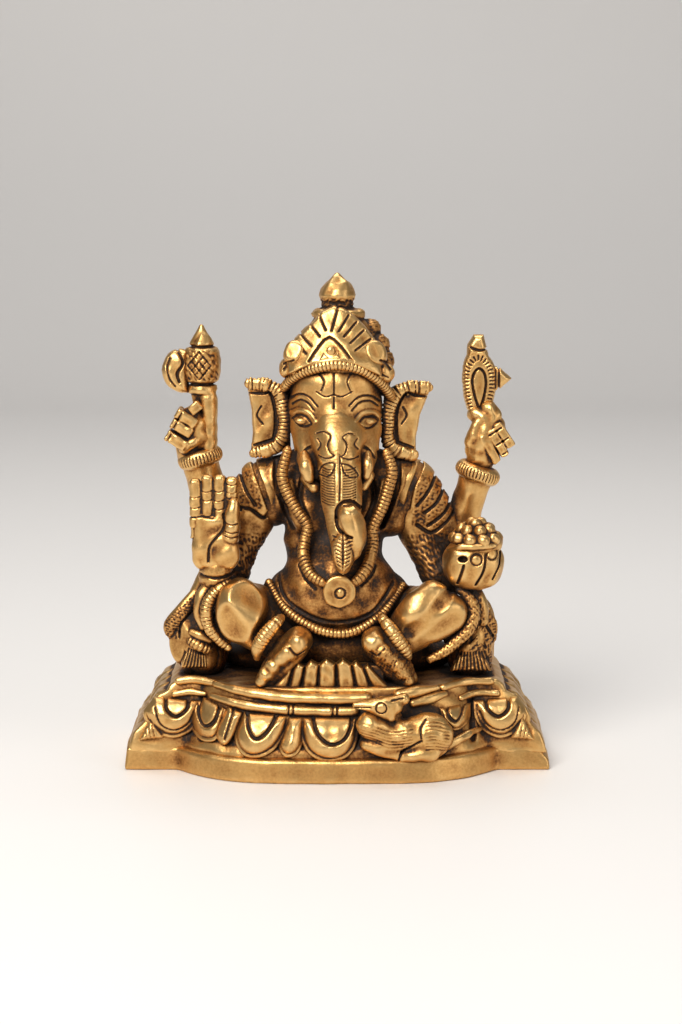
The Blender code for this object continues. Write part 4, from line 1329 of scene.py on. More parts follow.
def left_rear_hand():
    """The hand from its back: three long fingers side by side, the thumb and the first knuckle."""
    clay = Clay(0.75)
    clay.add(ball((38.6, 0, 84.2), (4.8, 3.8, 7), tilt=24))
    for (x0, z0), (x1, z1) in (
        ((37.6, 85.4), (41.6, 78.2)), ((39.6, 86.8), (43.6, 80)), ((41.2, 88.4), (45.2, 82.4)),
    ):
        middle = ((x0 + x1) / 2, -1.6, (z0 + z1) / 2)
        tilt = -math.degrees(math.atan2(z1 - z0, x1 - x0))
        clay.add(box(middle, (math.hypot(x1 - x0, z1 - z0) / 2, 2.2, 1.15), 0.5, tilt=tilt), 0.15)
    for x, z in ((41, 86.6), (42.8, 84), (44.4, 81.6)):
        clay.carve([(x - 1.6, z - 1.2), (x + 1.4, z + 0.8)], 0.32, 0.45, 1)
    clay.add(ball((37.6, 1, 79), (3.8, 3.8, 3.4)), 1)
    clay.add(ball((38.4, -0.4, 89), (3, 2.8, 3.4)), 0.8)
    clay.tube(((35.4, 0, 79.6), (35, -1.2, 84), (36.6, -1.6, 88.4)), (1.8, 1.9, 1.5), 0.5)
    clay.tube(((39.2, -0.6, 92), (40.6, -1, 90)), (2.2, 2.1), 0.5)
    clay.add(ball((36.2, 0.4, 90.6), (2.6, 2.8, 2.2)), 0.5)
    clay.grain(0.10, 2.6, 32)
    return clay


def axe():
    """A post with turned mouldings and a drum of crossing lines, and the round blade beside it."""
    shaft = Clay(0.75)
    profile = (
        (2.4, 79), (2.5, 88), (2.5, 94), (2.9, 95.8), (3.7, 96.1), (3.9, 97), (3.7, 97.9), (2.8, 98.3),
        (4.3, 99.2), (4.9, 101.6), (4.9, 104.4), (4.6, 106.8), (4, 107.6), (2.5, 108), (3.2, 108.6),
        (3, 109.2), (0.4, 113.6),
    )
    shaft.add(turned((-35, 1.4), profile))
    shaft.tube(((-33.4, 0.2, 80), (-33.4, 0, 94.4)), (2.3, 2.4), 0.6)
    for x, side in ((-30.6, 1), (-39.4, -1)):
        shaft.flatten((x, -1.6, 103), (0.62 * side, -0.78, 0), 0.5)
    diamond = [(-35.5, 106.9), (-32.5, 103.3), (-35.5, 99.7), (-38.5, 103.3), (-35.5, 106.9)]
    shaft.carve(diamond, 0.28, 0.4, 0, smooth=1)
    for share in (1 / 3, 2 / 3):
        for (ax, az), (bx, bz), (dx, dz) in (
            (diamond[0], diamond[1], (-3, -3.6)), (diamond[0], diamond[3], (3, -3.6)),
        ):
            x, z = ax + (bx - ax) * share, az + (bz - az) * share
            shaft.carve([(x, z), (x + dx, z + dz)], 0.26, 0.3, 0)
    shaft.stipple([(-39.4, 99), (-30.6, 99), (-30.6, 107.4), (-39.4, 107.4)], 0, 0.12, 1.4, 33)
    shaft.carve([(-37, 108.4), (-35.4, 113)], 0.9, 0.3, 0)
    shaft.grain(0.10, 3, 34)
    cast("axe_shaft", shaft)
    blade = Clay(0.75)
    body = [
        (-38.4, 95.8), (-41.5, 96.2), (-44.3, 98.1), (-45.5, 102), (-43.8, 106.2), (-41.1, 107.4),
        (-38.4, 107.2),
    ]
    blade.add(plate(spline(body, 4), 1.2, 2.6, 0.5, 2.2))
    blade.carve([(-43.2, 105.1), (-43.9, 102.7), (-43.3, 99.8), (-41.9, 97.9)], 0.4, 0.5)
    blade.carve([(-41.4, 107.3), (-39.8, 103.9), (-41.3, 101.2), (-40.8, 99)], 0.45, 0.7)
    blade.grain(0.10, 3, 35)
    cast("axe_blade", blade)


def goad():
    """A leaf with a sunk drop and a border of short strokes, a cap and a point to one side."""
    clay = Clay(0.7)
    outer = [
        (35, 88.6), (33, 93.6), (32.3, 99), (32.6, 103.6), (34, 106.6), (36.6, 107.4), (39.2, 105.6),
        (41, 102.6), (41.3, 97.4), (40.4, 93), (39.6, 88.6),
    ]
    clay.add(plate(spline(outer, 4), 1, 2.3, 0.6, 1.3))
    clay.add(
        plate(
            [(33.4, 105.4), (33.6, 108.6), (35.2, 111.2), (37.9, 111.2), (38.9, 107.4), (39.4, 104.8)], 1,
            2.5, 0.5, 1.8,
        ),
        0.3,
    )
    clay.add(plate([(40.6, 103), (42, 102.8), (45.3, 99.7), (42, 96.8), (40.6, 96.4)], 1, 2.2, 0.3, 1.6), 0.2)
    clay.carve([(41.8, 103), (41.8, 96.6)], 0.4, 0.7)
    clay.carve([(34.4, 107.9), (36.6, 107.2), (39, 107.5)], 0.45, 0.7)
    drop = [
        (36.8, 91.8), (35.6, 95.2), (34.9, 98.8), (35.3, 101.2), (36.6, 102.5), (38, 101.2), (38.4, 98.4),
        (37.9, 95), (37, 91.8),
    ]
    clay.carve(drop, 0.36, 0.8)
    border = [
        (34.8, 90.6), (33.9, 94.2), (33.3, 98.6), (33.6, 102.2), (35, 104.6), (36.8, 105.2), (38.8, 103.8),
        (39.9, 101), (40, 97), (39.2, 93),
    ]
    clay.carve(border, 1, 0.4, lines=(0.95, 0.26))
    clay.grain(0.08, 3, 36)
    return clay


def front_forearm(side):
    """The forearm from the elbow to the hand in front."""
    clay = Clay(1.2)
    if side < 0:
        clay.tube(
            [(-28.6, 3, 49.4), (-30.4, -4, 48.8), (-31.2, -9.6, 49.8), (-31, -11.6, 52)], (5, 5, 4.6, 4), 1,
        )
        clay.carve([(-36.4, 50.7), (-31, 50), (-26, 50.9)], 0.5, 0.8, -4)
    else:
        clay.tube([(29, 3, 48.6), (31, -3, 48.6), (33, -8, 50.2)], (5, 5, 4.6), 1)
    clay.stipple([(-40, 44), (40, 44), (40, 56), (-40, 56)], 6, 0.10, 1.2, 26)
    return clay


def right_front_hand():
    """An open palm with joined fingers."""
    clay = Clay(0.75)
    palm = [
        (-37.5, 68), (-37.3, 62), (-36.6, 57), (-34.8, 53), (-31.4, 51.8), (-27.6, 52.8), (-25.4, 57.4),
        (-24.9, 66),
    ]
    clay.add(plate(spline(palm, 4), -12.6, 2.9, 1, 2.4))
    clay.add(ball((-28.2, -14.4, 56.8), (3.3, 2.2, 4.6), tilt=-14), 0.8)
    clay.add(ball((-34.8, -13.8, 57.6), (2.4, 2, 5.4), tilt=4), 1)
    clay.add(
        plate(
            [(-37.6, 60), (-37.2, 73.6), (-34, 75.2), (-29, 75.2), (-25.6, 73.8), (-25, 60)], -12.6, 2.1,
            0.5, 0.8,
        )
    )
    tops = ((-36.1, 75.6), (-33.1, 76.6), (-30, 76.6), (-26.9, 75.9))
    for x, top in tops:
        clay.add(box((x, -13.4, (62.6 + top) / 2), (1.56, 1.8, (top - 62.6) / 2), 1.2))
    for x, joints in (
        (-36.3, (71, 68.3, 65.8)), (-33.3, (72.5, 70.2, 66.1)), (-30.2, (72.5, 70.1, 67.9)),
        (-26.8, (74.2, 72.2, 70.7)),
    ):
        for z in joints:
            clay.carve([(x - 1.3, z + 0.1), (x, z - 0.25), (x + 1.3, z + 0.1)], 0.24, 0.2, -11)
    clay.tube(((-27.2, -14.4, 60.6), (-26.8, -14.8, 64.6), (-26.4, -14.8, 69.4)), (2.2, 2.1, 1.5), 0.3)
    clay.carve([(-29, 66.6), (-28.6, 64.2), (-29.4, 62.2), (-32.4, 58.6), (-32.9, 54.4)], 0.34, 0.55, -11)
    for z in (64.3, 62.1, 60.9):
        clay.carve([(-28.6, z + 0.3), (-27, z - 0.2), (-25.2, z)], 0.26, 0.3, -11)
    clay.carve([(-37.6, 65.7), (-34.6, 66), (-31.6, 65.6)], 0.28, 0.3, -11)
    clay.grain(0.10, 4, 37)
    return clay


def left_front_hand():
    """A hand of joined fingers under the sweets."""
    clay = Clay(0.75)
    clay.add(ball((35, -10.6, 53.2), (7.9, 6.6, 7.2)))
    clay.add(box((35, -10.4, 53), (6.6, 5.4, 5.6), 3), 1.2)
    clay.carve([(32.3, 53.6), (31.6, 51.2), (30.8, 48.8)], 0.4, 0.7, -11)
    clay.carve([(38, 57.4), (37.4, 52.5), (35.4, 48.4)], 0.36, 0.7, -11)
    clay.carve([(41.8, 57.2), (41.4, 53.4), (39.8, 49.9)], 0.32, 0.6, -9)
    clay.add(ball((35.5, -16.6, 55.1), (1.4, 0.8, 1.4)), 0.3)
    clay.carve_each((circle(35.5, 55.1, 1.45, 12), circle(39.6, 56.4, 1.4, 12)), 0.3, 0.35, -11)
    clay.cut(ball((32, -16.2, 55.2), (1.3, 1.6, 0.9)), 0.3)
    clay.grain(0.12, 4, 38)
    return clay


def sweets_bowl():
    """Three rings of sweets heaped in the hand, and the rim round them."""
    clay = Clay(0.75)
    clay.add(ball((36, -10.6, 58.6), (6.6, 6, 4.2)))
    clay.tube(
        ((28.6, -12.6, 57), (31.4, -16, 58.3), (36, -17, 58.5), (40.2, -15.4, 58.6)), (0.7, 0.8, 0.8, 0.6),
        0.3,
    )
    rings = ((10, 5.4, 59.9, 1.7, 0), (7, 3.6, 61.9, 1.75, 0.5), (3, 1.3, 63.4, 1.7, 0.2))
    for count, reach, height, size, start in rings:
        for index in range(count):
            angle = 2 * math.pi * (index + start) / count
            clay.add(
                ball((35.6 + reach * math.cos(angle), -10.8 + reach * math.sin(angle), height), size), 0.15,
            )
    clay.grain(0.10, 3, 39)
    return clay


def upper_body():
    cast_each(torso, belt, garland, pendant, goad)
    cast_sides(upper_arm, rear_forearm, rear_bangle, front_forearm)
    cast_each(right_rear_hand, left_rear_hand, right_front_hand, left_front_hand, sweets_bowl)
    axe()


# ---------------------------------------------------------------- head


TRUNK_PATH = (
    (-0.2, -7.6, 92), (-0.2, -9.9, 89.2), (-0.1, -11.9, 85.6), (0.3, -14.2, 81.2), (0.9, -15.8, 76.2),
    (1.1, -17.2, 71.5), (1.6, -18.8, 66), (2, -20.4, 60), (1.6, -21.2, 54),
)
TRUNK_RADII = (2.6, 5.6, 6.2, 5.7, 5.3, 5.2, 4.5, 3.7, 1.8)


def head():
    """The face: brow, cheeks, the root of the trunk, eyes and the lines cut over them."""
    clay = Clay(0.8)
    clay.add(ball((-0.4, -2.5, 92.5), (12.2, 11.2, 12.5)))
    clay.add(ball((-0.4, -5.5, 99), (10.8, 8.2, 7.2)), 2)
    clay.add(ball((-0.4, -4.6, 86.5), (10.9, 8.2, 8)), 2.5)
    clay.tube(((-8, -6.4, 87.4), (-7, -9, 82), (-6, -10.6, 77)), (3.6, 3.8, 3.2), 1.6)
    clay.tube(((7.6, -6.4, 87.4), (7, -9, 82), (6.4, -10.6, 78)), (3.6, 3.6, 3), 1.6)
    clay.tube(TRUNK_PATH[:4], [radius - 0.45 for radius in TRUNK_RADII[:4]], 2.6)
    clay.add(ball((0.3, -9.2, 86), (7.8, 6.8, 5.4)), 2.4)
    for x in (-8.9, 7.9):
        clay.add(ball((x, -9.9, 89.9), (2.1, 1.5, 1.1)), 0.3)
    lids = (
        [(-11.5, 90.2), (-9.9, 91.4), (-8, 91.2), (-6.5, 89.6)],
        [(-11, 90), (-9.6, 88.8), (-8, 88.6), (-6.5, 89.4)],
        [(5.3, 89.6), (6.9, 91), (9, 91), (10.5, 89.8)],
        [(5.4, 89.4), (7, 88.4), (8.8, 88.4), (10.2, 89.4)],
    )
    clay.carve_each(lids, 0.28, 0.4, -4)
    ridges = (
        [(-11.8, 91.6), (-9.7, 92.7), (-7.3, 92.1), (-5.8, 90.4)],
        [(4.8, 90.4), (6.8, 92.2), (9.4, 92.1), (11, 90.8)],
    )
    clay.carve_each(ridges, 0.7, -0.35, -4)
    brows = (
        [(-11.9, 95.3), (-9.7, 96.8), (-7.2, 96.3), (-5, 94)],
        [(-11.4, 94), (-9.4, 95.3), (-7.4, 94.7), (-5.8, 92.9)],
        [(3.1, 94.2), (5.5, 96.3), (8.5, 96.4), (10.8, 94.8)],
        [(3.8, 93), (5.8, 94.9), (8.3, 95.1), (10.4, 93.6)],
    )
    clay.carve_each(brows, 0.3, 0.4, -4)
    marks = (
        [(-0.8, 104.6), (-0.8, 97.1)], [(-0.8, 96.5), (-0.8, 93.6)],
        [(-4.6, 102.4), (-3.3, 100.3), (-4.1, 97.9)], [(3.6, 102.4), (2.6, 100.3), (3.4, 97.9)],
        [(-5.2, 97.7), (-3, 96.5), (-0.9, 97)], [(-0.7, 97), (1.2, 96.5), (3.8, 97.7)],
    )
    clay.carve_each(marks, 0.26, 0.34, -4)
    for side in (-1, 1):
        clay.carve(on_side([(10.4, 82), (10.8, 78.4), (9.6, 74.6)], side), 0.4, 0.6, -4)
        clay.carve(on_side([(5.8, 84), (7.8, 83), (9.6, 80.6)], side), 0.35, 0.5, -4)
    clay.grain(0.10, 5, 40)
    return clay


def trunk():
    """The trunk down to its curl, which holds a leaf, with strokes and figures cut along it."""
    clay = Clay(0.75)
    clay.tube(((3.4, -21.6, 58.6), (4.6, -22.4, 63), (3.2, -22.6, 67.6)), (2.8, 3.1, 2.9))
    clay.flatten((3.8, -24.2, 69.6), (0.10, -0.60, 0.80), 0.5)
    clay.flatten((6.4, -23.4, 66), (0.70, -0.60, 0.10), 0.8)
    clay.tube(TRUNK_PATH, TRUNK_RADII, 0.4)
    clay.add(ball((0.3, -9.4, 85.8), (8.2, 7.3, 5.8)), 2)
    clay.carve([(-0.2, 66.8), (0, 69.2), (1.6, 70.9), (4, 70.8), (5.8, 69)], 0.45, 0.9, -17)
    clay.carve([(-0.2, 67), (0.2, 64.6), (1.8, 62.8), (3.6, 62.2)], 0.45, 0.9, -17)
    leaf = [
        (1.5, 52.2), (-0.8, 55.4), (-1.4, 58.4), (-0.8, 61.6), (1.4, 63.4), (3.6, 61.6), (4.3, 58.4),
        (3.8, 55.4),
    ]
    clay.add(plate(spline(leaf + leaf[:1], 4), -23, 2.6, 0.4, 2.4), 0.2)
    clay.carve([(1.5, 63), (1.5, 53)], 0.32, 0.5, -20)
    for step in range(8):
        z = 61.8 - step
        reach = 2.3 - 0.16 * step
        clay.carve([(1.3 - reach, z + 0.5), (1.2, z - 0.2)], 0.24, 0.32, -20)
        clay.carve([(1.8, z - 0.2), (1.7 + reach, z + 0.5)], 0.24, 0.32, -20)
    clay.carve([(0.7, 82.4), (0.7, 76), (0.6, 71.2)], 0.28, 0.4, -10)
    for step in range(14):
        z = 78.6 - step * 0.66
        clay.carve([(-3.7, z + 0.5), (-2.4, z + 0.1), (-0.7, z)], 0.22, 0.26, -10, smooth=1)
        clay.carve([(1.6, z), (3.3, z + 0.1), (4.7, z + 0.5)], 0.22, 0.26, -10, smooth=1)
    curves = (
        [
            (-5.2, 87.4), (-3.4, 88), (-1.6, 87), (-2.4, 84.9), (-1.8, 83.1), (-0.8, 82.2), (-2.7, 81.5),
            (-4.7, 82),
        ],
        [(-4.9, 86.1), (-4.1, 84.8), (-4.8, 83.4)],
        [
            (4.5, 87.2), (2.9, 87.6), (1.4, 86.7), (2.3, 85.4), (2.5, 84.2), (1.9, 82.6), (1.1, 81.9),
            (3.1, 81.3), (5.4, 81.6),
        ],
        [(5.1, 86.1), (4.4, 84.8), (5.3, 83.5)],
        [(-4.6, 77.7), (-3.9, 79.2), (-2.5, 80.3), (-0.7, 80.3), (-1, 78.4), (-2.4, 77), (-4.6, 77.2)],
        [(1.1, 80.3), (2.9, 79.9), (4.4, 78.6), (5.3, 77), (3.4, 76.8), (1.8, 78), (1.1, 80.3)],
    )
    clay.carve_each(curves, 0.25, 0.34, -8)
    clay.grain(0.10, 4, 42)
    return clay


def tusk(side):
    """A short tusk, and the corner of the mouth under it."""
    clay = Clay(0.75)
    if side < 0:
        clay.tube(((-8.2, -12.4, 81.2), (-7.8, -14.8, 79), (-7.2, -15.4, 76.2)), (1.5, 2, 1.5))
        clay.tube(((-7.6, -12, 75.4), (-5.8, -13.6, 73.4)), (1.8, 1.5), 0.4)
    else:
        clay.tube(((7.6, -12.4, 81.6), (7.8, -14.6, 79.2), (7.4, -15, 76.6)), (1.2, 1.5, 1.1))
        clay.tube(((8, -12, 76), (6.8, -13, 73.6)), (1.6, 1.3), 0.4)
    clay.grain(0.06, 3, 43)
    return clay


def ear(side):
    """A flat ear with a thick ribbed rim and a small crescent."""
    clay = Clay(0.7)
    if side < 0:
        leaf = [
            (-12, 96.5), (-15.4, 98.6), (-23.6, 100), (-23.2, 97), (-22.2, 91.4), (-22, 86), (-22.6, 80),
            (-16, 79.8), (-12, 82),
        ]
        rim = [
            (-22.7, 98.6), (-18.4, 98.3), (-15, 96.4), (-13.8, 92.4), (-13.6, 88), (-14.2, 84.4),
            (-17, 81.8), (-21.6, 80.6),
        ]
        crescent = [(-19.6, 92.8), (-20.7, 90.4), (-19.2, 88.2)]
    else:
        leaf = [
            (12, 96.5), (15.4, 98.4), (24.6, 99), (23.6, 95.6), (21.6, 90.4), (20.6, 85), (20.4, 79.4),
            (16, 79), (11.6, 82),
        ]
        rim = [
            (23.8, 97.6), (19.6, 97.8), (15.6, 96.4), (13.5, 93), (12.9, 88.6), (13.2, 84.2), (15.8, 81.2),
            (19.8, 79.9),
        ]
        crescent = [(17, 92.6), (17.9, 90.4), (16.6, 88.2)]
    clay.add(plate(leaf, -0.6, 1.7, 0.5, 0.8))
    depths = (-2, -2.4, -2.9, -3.4, -3.6, -3.4, -2.9, -2.2)
    path = [(x, y, z) for (x, z), y in zip(rim, depths)]
    clay.tube(path, (1.7, 1.9, 1.9, 1.8, 1.7, 1.8, 1.9, 1.5), 0.1, pitch=0.95, cut=0.34, flat=0.62)
    clay.carve(crescent, 0.3, 0.4, -0.8)
    inner = [(x + 2.3 * side, z) for x, z in rim[2:6]]
    clay.carve(
        [
            (rim[0][0], rim[0][1] - 2.3), (rim[1][0] + 0.6 * side, rim[1][1] - 2.2), *inner,
            (rim[6][0], rim[6][1] + 2.2), (rim[7][0], rim[7][1] + 2.1),
        ],
        0.4, 0.6, -0.8,
    )
    for step in range(4):
        clay.carve(on_side([(13, 95 - step * 3.6), (21, 96 - step * 4)], side), 0.6, 0.6, 0, back=True)
    clay.grain(0.10, 4, 44)
    return clay


def crown():
    """A turned dome with a knot of hair behind and beads at its sides."""
    clay = Clay(1.1)
    profile = (
        (12.8, 95.5), (13.2, 99.5), (13, 103), (12, 107), (9.6, 111.2), (7.2, 114.4), (6.4, 115.4),
        (6.8, 115.9), (6.8, 117.2), (6, 117.8),
    )
    clay.add(turned((0.5, -0.4), profile, 0.95))
    clay.add(ball((1.5, 9.6, 104), (8.5, 5.5, 8)), 1.5)
    clay.add(ball((8.6, 1, 112.6), (2.8, 3.4, 2.6)), 0.5)
    clay.add(ball((10.8, -0.6, 108.8), (2.8, 3.2, 2.6)), 0.5)
    clay.add(ball((12.4, -2, 104.4), (2.2, 3, 2.8)), 0.5)
    clay.add(ball((-11.6, -2.4, 104.6), (2.2, 3, 2.8)), 0.5)
    clay.flatten((0, -8, 99.5), (0, -0.55, -0.83), 0.4)
    clay.dull = 0.10
    for z in (106.6, 110.6, 114.4):
        clay.carve([(-16, z), (16, z)], 0.6, 0.7, 2, back=True)
    for x in range(-10, 12, 3):
        clay.carve([(x, 97), (x, 104), (x * 0.5, 112)], 0.6, 0.7, 4, back=True)
    groove = [
        (-14, 100.4), (-12.4, 102.6), (-9, 104.9), (-4.1, 106.8), (0.8, 107.4), (5.7, 106.2), (9.4, 103.8),
        (12.2, 100.8), (14.4, 97.8),
    ]
    clay.carve(groove, 0.5, 1, -2)
    clay.stipple([(4, 96), (16, 96), (16, 116), (9, 117)], 2, 0.14, 1.2, 45)
    clay.grain(0.14, 4, 46)
    return clay


def crown_band():
    """A ribbed cord over the brow with a thin lip above it, carried round the back."""
    clay = Clay(0.7)
    front = [
        (-13.4, 98.2), (-12, 100), (-9, 102.3), (-4.1, 104.1), (0.8, 104.6), (5.7, 103.5), (9.2, 101.3),
        (12, 98.5), (13.8, 95.6),
    ]
    points = [(x, -0.4 - 13 * math.sqrt(max(0, 1 - (x / 14.4) ** 2)), z) for x, z in front]
    points = [(-13.6, 2, 97), *points, (13.6, 2, 95.4)]
    clay.tube(
        points, (1.1, 1.25, 1.3, 1.4, 1.45, 1.45, 1.45, 1.4, 1.3, 1.25, 1.1), pitch=0.95, cut=0.36,
        smooth=5,
    )
    lip = [(x * 1.01, -0.4 - 13.3 * math.sqrt(max(0, 1 - (x / 14.6) ** 2)), z + 1.2) for x, z in front]
    clay.tube(lip, (0.4, 0.6, 0.8, 0.8, 0.8, 0.8, 0.8, 0.6, 0.4))
    back = [(13.6, 2, 95.4), (10, 9.4, 95.8), (0, 12.6, 96.4), (-10, 9.4, 96.8), (-13.6, 2, 97)]
    clay.tube(back, 1.1, pitch=0.95, cut=0.36)
    return clay


def crest_depth(x, z):
    """The crest leans back as it rises and wraps round the crown."""
    return -13.4 + 0.50 * (z - 104) + 0.030 * x * x


def crown_crest():
    """A fan of rays that stands before the dome, over a pointed arch."""
    outline = [
        (-12.6, 101.6), (-13.2, 106), (-12.6, 109.3), (-9.7, 112.2), (-6.2, 115.4), (-4, 117.8),
        (-0.9, 119.2), (1.7, 118.6), (4.3, 116.8), (7.1, 114.1), (9.9, 110.5), (11, 106.4), (11.6, 101.2),
        (5, 104.4), (0, 105.6), (-6, 104.8),
    ]
    clay = Clay(0.75)
    clay.add(plate(outline, 0, 1.9, 0.4, 0.8, crest_depth))
    clay.carve([(-7.2, 105.4), (-4.4, 109.4), (-1.9, 111.4), (0.8, 109.4), (4, 105.4)], 0.34, 0.7, smooth=2)
    inner = (
        (-7.9, 107.3), (-6.6, 109.2), (-4.4, 111.6), (-2.9, 113.2), (-1.4, 113), (0.4, 112.8), (1.8, 111.6),
        (3.4, 110), (4.7, 108.2),
    )
    outer = (
        (-11.1, 110.4), (-9.4, 112), (-7, 114.6), (-4.6, 116.8), (0.2, 118.6), (3, 116.9), (5, 115.2),
        (6.9, 113.1), (8.6, 110.9),
    )
    clay.carve_each(zip(inner, outer), 0.36, 0.6)
    clay.carve([(-12, 110.2), (-8.6, 112.6), (-5, 116.4)], 0.3, 0.2)
    clay.grain(0.12, 4, 47)
    return clay


def crown_jewel():
    """A pointed plate under the arch, with a round stone."""
    clay = Clay(0.7)
    triangle = [(-5.4, 105), (-3.6, 108.4), (-1.8, 110.2), (0.2, 108.4), (2.3, 105.2), (-1.5, 106)]
    clay.add(plate(triangle, 0, 1.7, 0.3, 1, lambda x, z: crest_depth(x, z) - 0.5))
    centre = (-1.6, float(crest_depth(-1.6, 108.2)) - 2, 108.2)
    clay.add(ball(centre, (1.25, 0.9, 1.25)), 0.1)
    clay.carve(circle(-1.6, 108.2, 1.4), 0.3, 0.5)
    return clay


def crown_rosette(side):
    """Two cut balls and a short roll where the crest meets the band."""
    clay = Clay(0.75)
    if side < 0:
        clay.add(ball((-10.8, -8.8, 107.2), (2.8, 3.2, 3.4), tilt=20))
        clay.add(ball((-12.6, -6.8, 103.4), (2.2, 3, 2.8), tilt=20), 0.3)
        clay.tube(((-9.2, -10.6, 104), (-11.2, -9.2, 102.2)), (1, 1.2), 0.3)
    else:
        clay.add(ball((9.5, -9.2, 107), (3.2, 3.2, 3.6), tilt=-24))
        clay.add(ball((12.2, -7, 102.2), (2.4, 3, 3), tilt=-24), 0.3)
        clay.tube(((8.6, -10.8, 103.4), (10.4, -9.4, 101.4)), (1, 1.3), 0.3)
    clay.flatten((10.4 * side, -11.4, 107), (0.25 * side, -0.90, 0.35), 0.5)
    clay.carve(on_side([(11, 105.6), (13.6, 104.4)], side), 0.35, 0.5)
    clay.carve(on_side([(12, 105), (13.6, 103)], side), 0.4, 0.5)
    clay.carve(on_side([(11.4, 101.8), (13, 101)], side), 0.3, 0.4)
    clay.grain(0.08, 3, 48)
    return clay


def crown_finial():
    """A turned bud on a punched neck."""
    profile = (
        (6.4, 115.8), (6.8, 116.6), (5.6, 117.4), (3.9, 118.2), (4.1, 119), (3.9, 119.6), (4.4, 120.3),
        (4.75, 121.4), (4.3, 122.8), (3.2, 124.5), (1.7, 126), (0.3, 127),
    )
    clay = Clay(0.75)
    clay.add(turned((0.1, 0), profile))
    clay.stipple([(-6, 118), (6, 118), (6, 121), (-6, 121)], 4, 0.1, 1.2, 49)
    clay.grain(0.14, 3.4, 41)
    return clay


def head_and_crown():
    cast_each(head, trunk, crown, crown_band, crown_crest, crown_jewel, crown_finial)
    cast_sides(tusk, ear, crown_rosette)


# ---------------------------------------------------------------- material, floor, light, camera


def antique_brass_with_painted_shade():
    """Brass buffed bright on its high spots and dark in its hollows, from patina and from painted shade."""
    material = bpy.data.materials.new("antique_brass_with_painted_shade")
    material.use_nodes = True
    nodes, links = material.node_tree.nodes, material.node_tree.links
    shader = nodes["Principled BSDF"]
    place = nodes.new("ShaderNodeTexCoord")

    def noise(scale, detail, rough):
        node = nodes.new("ShaderNodeTexNoise")
        node.inputs["Scale"].default_value = scale
        node.inputs["Detail"].default_value = detail
        node.inputs["Roughness"].default_value = rough
        links.new(place.outputs["Object"], node.inputs["Vector"])
        return node

    def ramp(source, stops):
        node = nodes.new("ShaderNodeValToRGB")
        elements = node.color_ramp.elements
        while len(elements) < len(stops):
            elements.new(0.5)
        for element, (position, shade) in zip(elements, stops):
            element.position = position
            element.color = (*shade, 1.0) if isinstance(shade, tuple) else (shade, shade, shade, 1.0)
        links.new(source, node.inputs["Fac"])
        return node

    def maths(operation, first, second):
        node = nodes.new("ShaderNodeMath")
        node.operation = operation
        for socket, value in zip(node.inputs, (first, second)):
            if isinstance(value, (int, float)):
                socket.default_value = value
            else:
                links.new(value, socket)
        return node.outputs[0]

    def bump(source, strength, distance):
        node = nodes.new("ShaderNodeBump")
        node.inputs["Strength"].default_value = strength
        node.inputs["Distance"].default_value = distance
        links.new(source.outputs["Fac"], node.inputs["Height"])
        return node

    # The attribute holds the rubbing together with shade painted into hollows and between parts.
    rubbed_and_shaded = nodes.new("ShaderNodeAttribute")
    rubbed_and_shaded.attribute_name = "polish_and_shade"
    cloud = noise(*CLOUDS)
    speck = noise(*SPECKS)
    clouded = maths("MULTIPLY", maths("SUBTRACT", cloud.outputs["Fac"], 0.5), CLOUD_WEIGHT)
    dull = maths("SUBTRACT", SPECK_LIMIT, rubbed_and_shaded.outputs["Fac"])
    specked = maths("MULTIPLY", maths("SUBTRACT", speck.outputs["Fac"], 0.5), dull)
    level = maths("ADD", maths("ADD", rubbed_and_shaded.outputs["Fac"], clouded), specked)
    colour = ramp(level, BRASS_COLOURS)
    links.new(colour.outputs["Color"], shader.inputs["Base Color"])
    rough = ramp(level, BRASS_ROUGHNESS)
    links.new(rough.outputs["Color"], shader.inputs["Roughness"])
    metal = ramp(level, BRASS_METAL)
    links.new(metal.outputs["Color"], shader.inputs["Metallic"])
    hammered = bump(noise(*HAMMERING), *HAMMERED_BUMP)
    pitted = bump(speck, *PITTED_BUMP)
    links.new(hammered.outputs["Normal"], pitted.inputs["Normal"])
    links.new(pitted.outputs["Normal"], shader.inputs["Normal"])
    return material


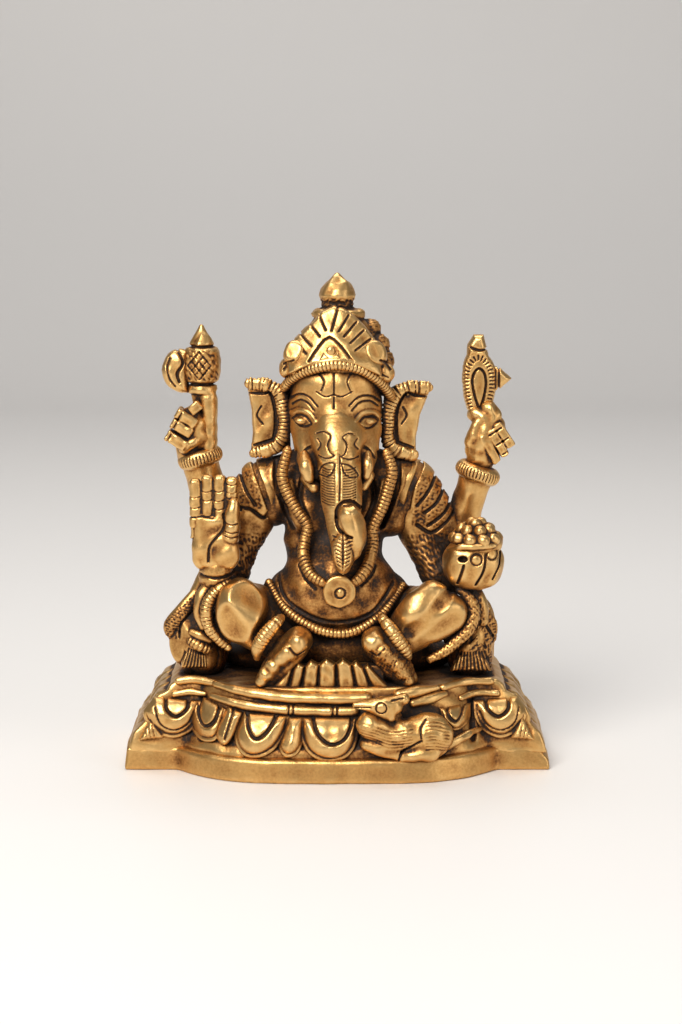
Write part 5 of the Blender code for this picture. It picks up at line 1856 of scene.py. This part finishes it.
def floor():
    """A pale table top that curves up into a backdrop."""
    material = bpy.data.materials.new("pale_floor")
    material.use_nodes = True
    shader = material.node_tree.nodes["Principled BSDF"]
    shader.inputs["Base Color"].default_value = FLOOR_COLOUR
    shader.inputs["Roughness"].default_value = FLOOR_ROUGHNESS
    front, bend, radius, top, half_width = -1.2, 0.8, 0.3, 1.6, 2.0
    profile = [(front, 0.0), (bend, 0.0)]
    for angle in np.linspace(0.1, math.pi / 2, 12):
        profile.append((bend + radius * math.sin(angle), radius - radius * math.cos(angle)))
    profile.append((bend + radius, top))
    points = [(x, y, z) for y, z in profile for x in (-half_width, half_width)]
    faces = [(2 * i, 2 * i + 1, 2 * i + 3, 2 * i + 2) for i in range(len(profile) - 1)]
    mesh = bpy.data.meshes.new("floor")
    mesh.from_pydata(points, [], faces)
    mesh.shade_smooth()
    mesh.materials.append(material)
    obj = bpy.data.objects.new("floor", mesh)
    bpy.context.scene.collection.objects.link(obj)


def softbox(name, place, size, power, colour):
    """A rectangular lamp turned towards the statue."""
    light = bpy.data.lights.new(name, "AREA")
    light.shape = "RECTANGLE"
    light.size, light.size_y = size
    light.energy = power
    light.color = colour
    obj = bpy.data.objects.new(name, light)
    obj.location = place
    obj.rotation_euler = (Vector(AIM) - Vector(place)).to_track_quat("-Z", "Y").to_euler()
    bpy.context.scene.collection.objects.link(obj)


def studio():
    floor()
    for light in LIGHTS:
        softbox(*light)
    world = bpy.data.worlds.new("studio")
    world.use_nodes = True
    sky = world.node_tree.nodes["Background"]
    sky.inputs["Color"].default_value = SKY_COLOUR
    sky.inputs["Strength"].default_value = SKY_STRENGTH
    bpy.context.scene.world = world
    bpy.context.scene.view_settings.view_transform = "Standard"


def camera():
    aim = Vector(CAMERA_AIM)
    data = bpy.data.cameras.new("camera")
    data.lens = CAMERA_LENS
    data.sensor_width = CAMERA_SENSOR
    obj = bpy.data.objects.new("camera", data)
    obj.location = aim + Vector((0.0, -math.cos(CAMERA_PITCH), math.sin(CAMERA_PITCH))) * CAMERA_REACH
    obj.rotation_euler = (aim - obj.location).to_track_quat("-Z", "Y").to_euler()
    bpy.context.scene.collection.objects.link(obj)
    bpy.context.scene.camera = obj


plinth()
lower_body()
upper_body()
head_and_crown()
crowding()
brass = antique_brass_with_painted_shade()
for piece in made:
    to_object(piece, brass)
studio()
camera()
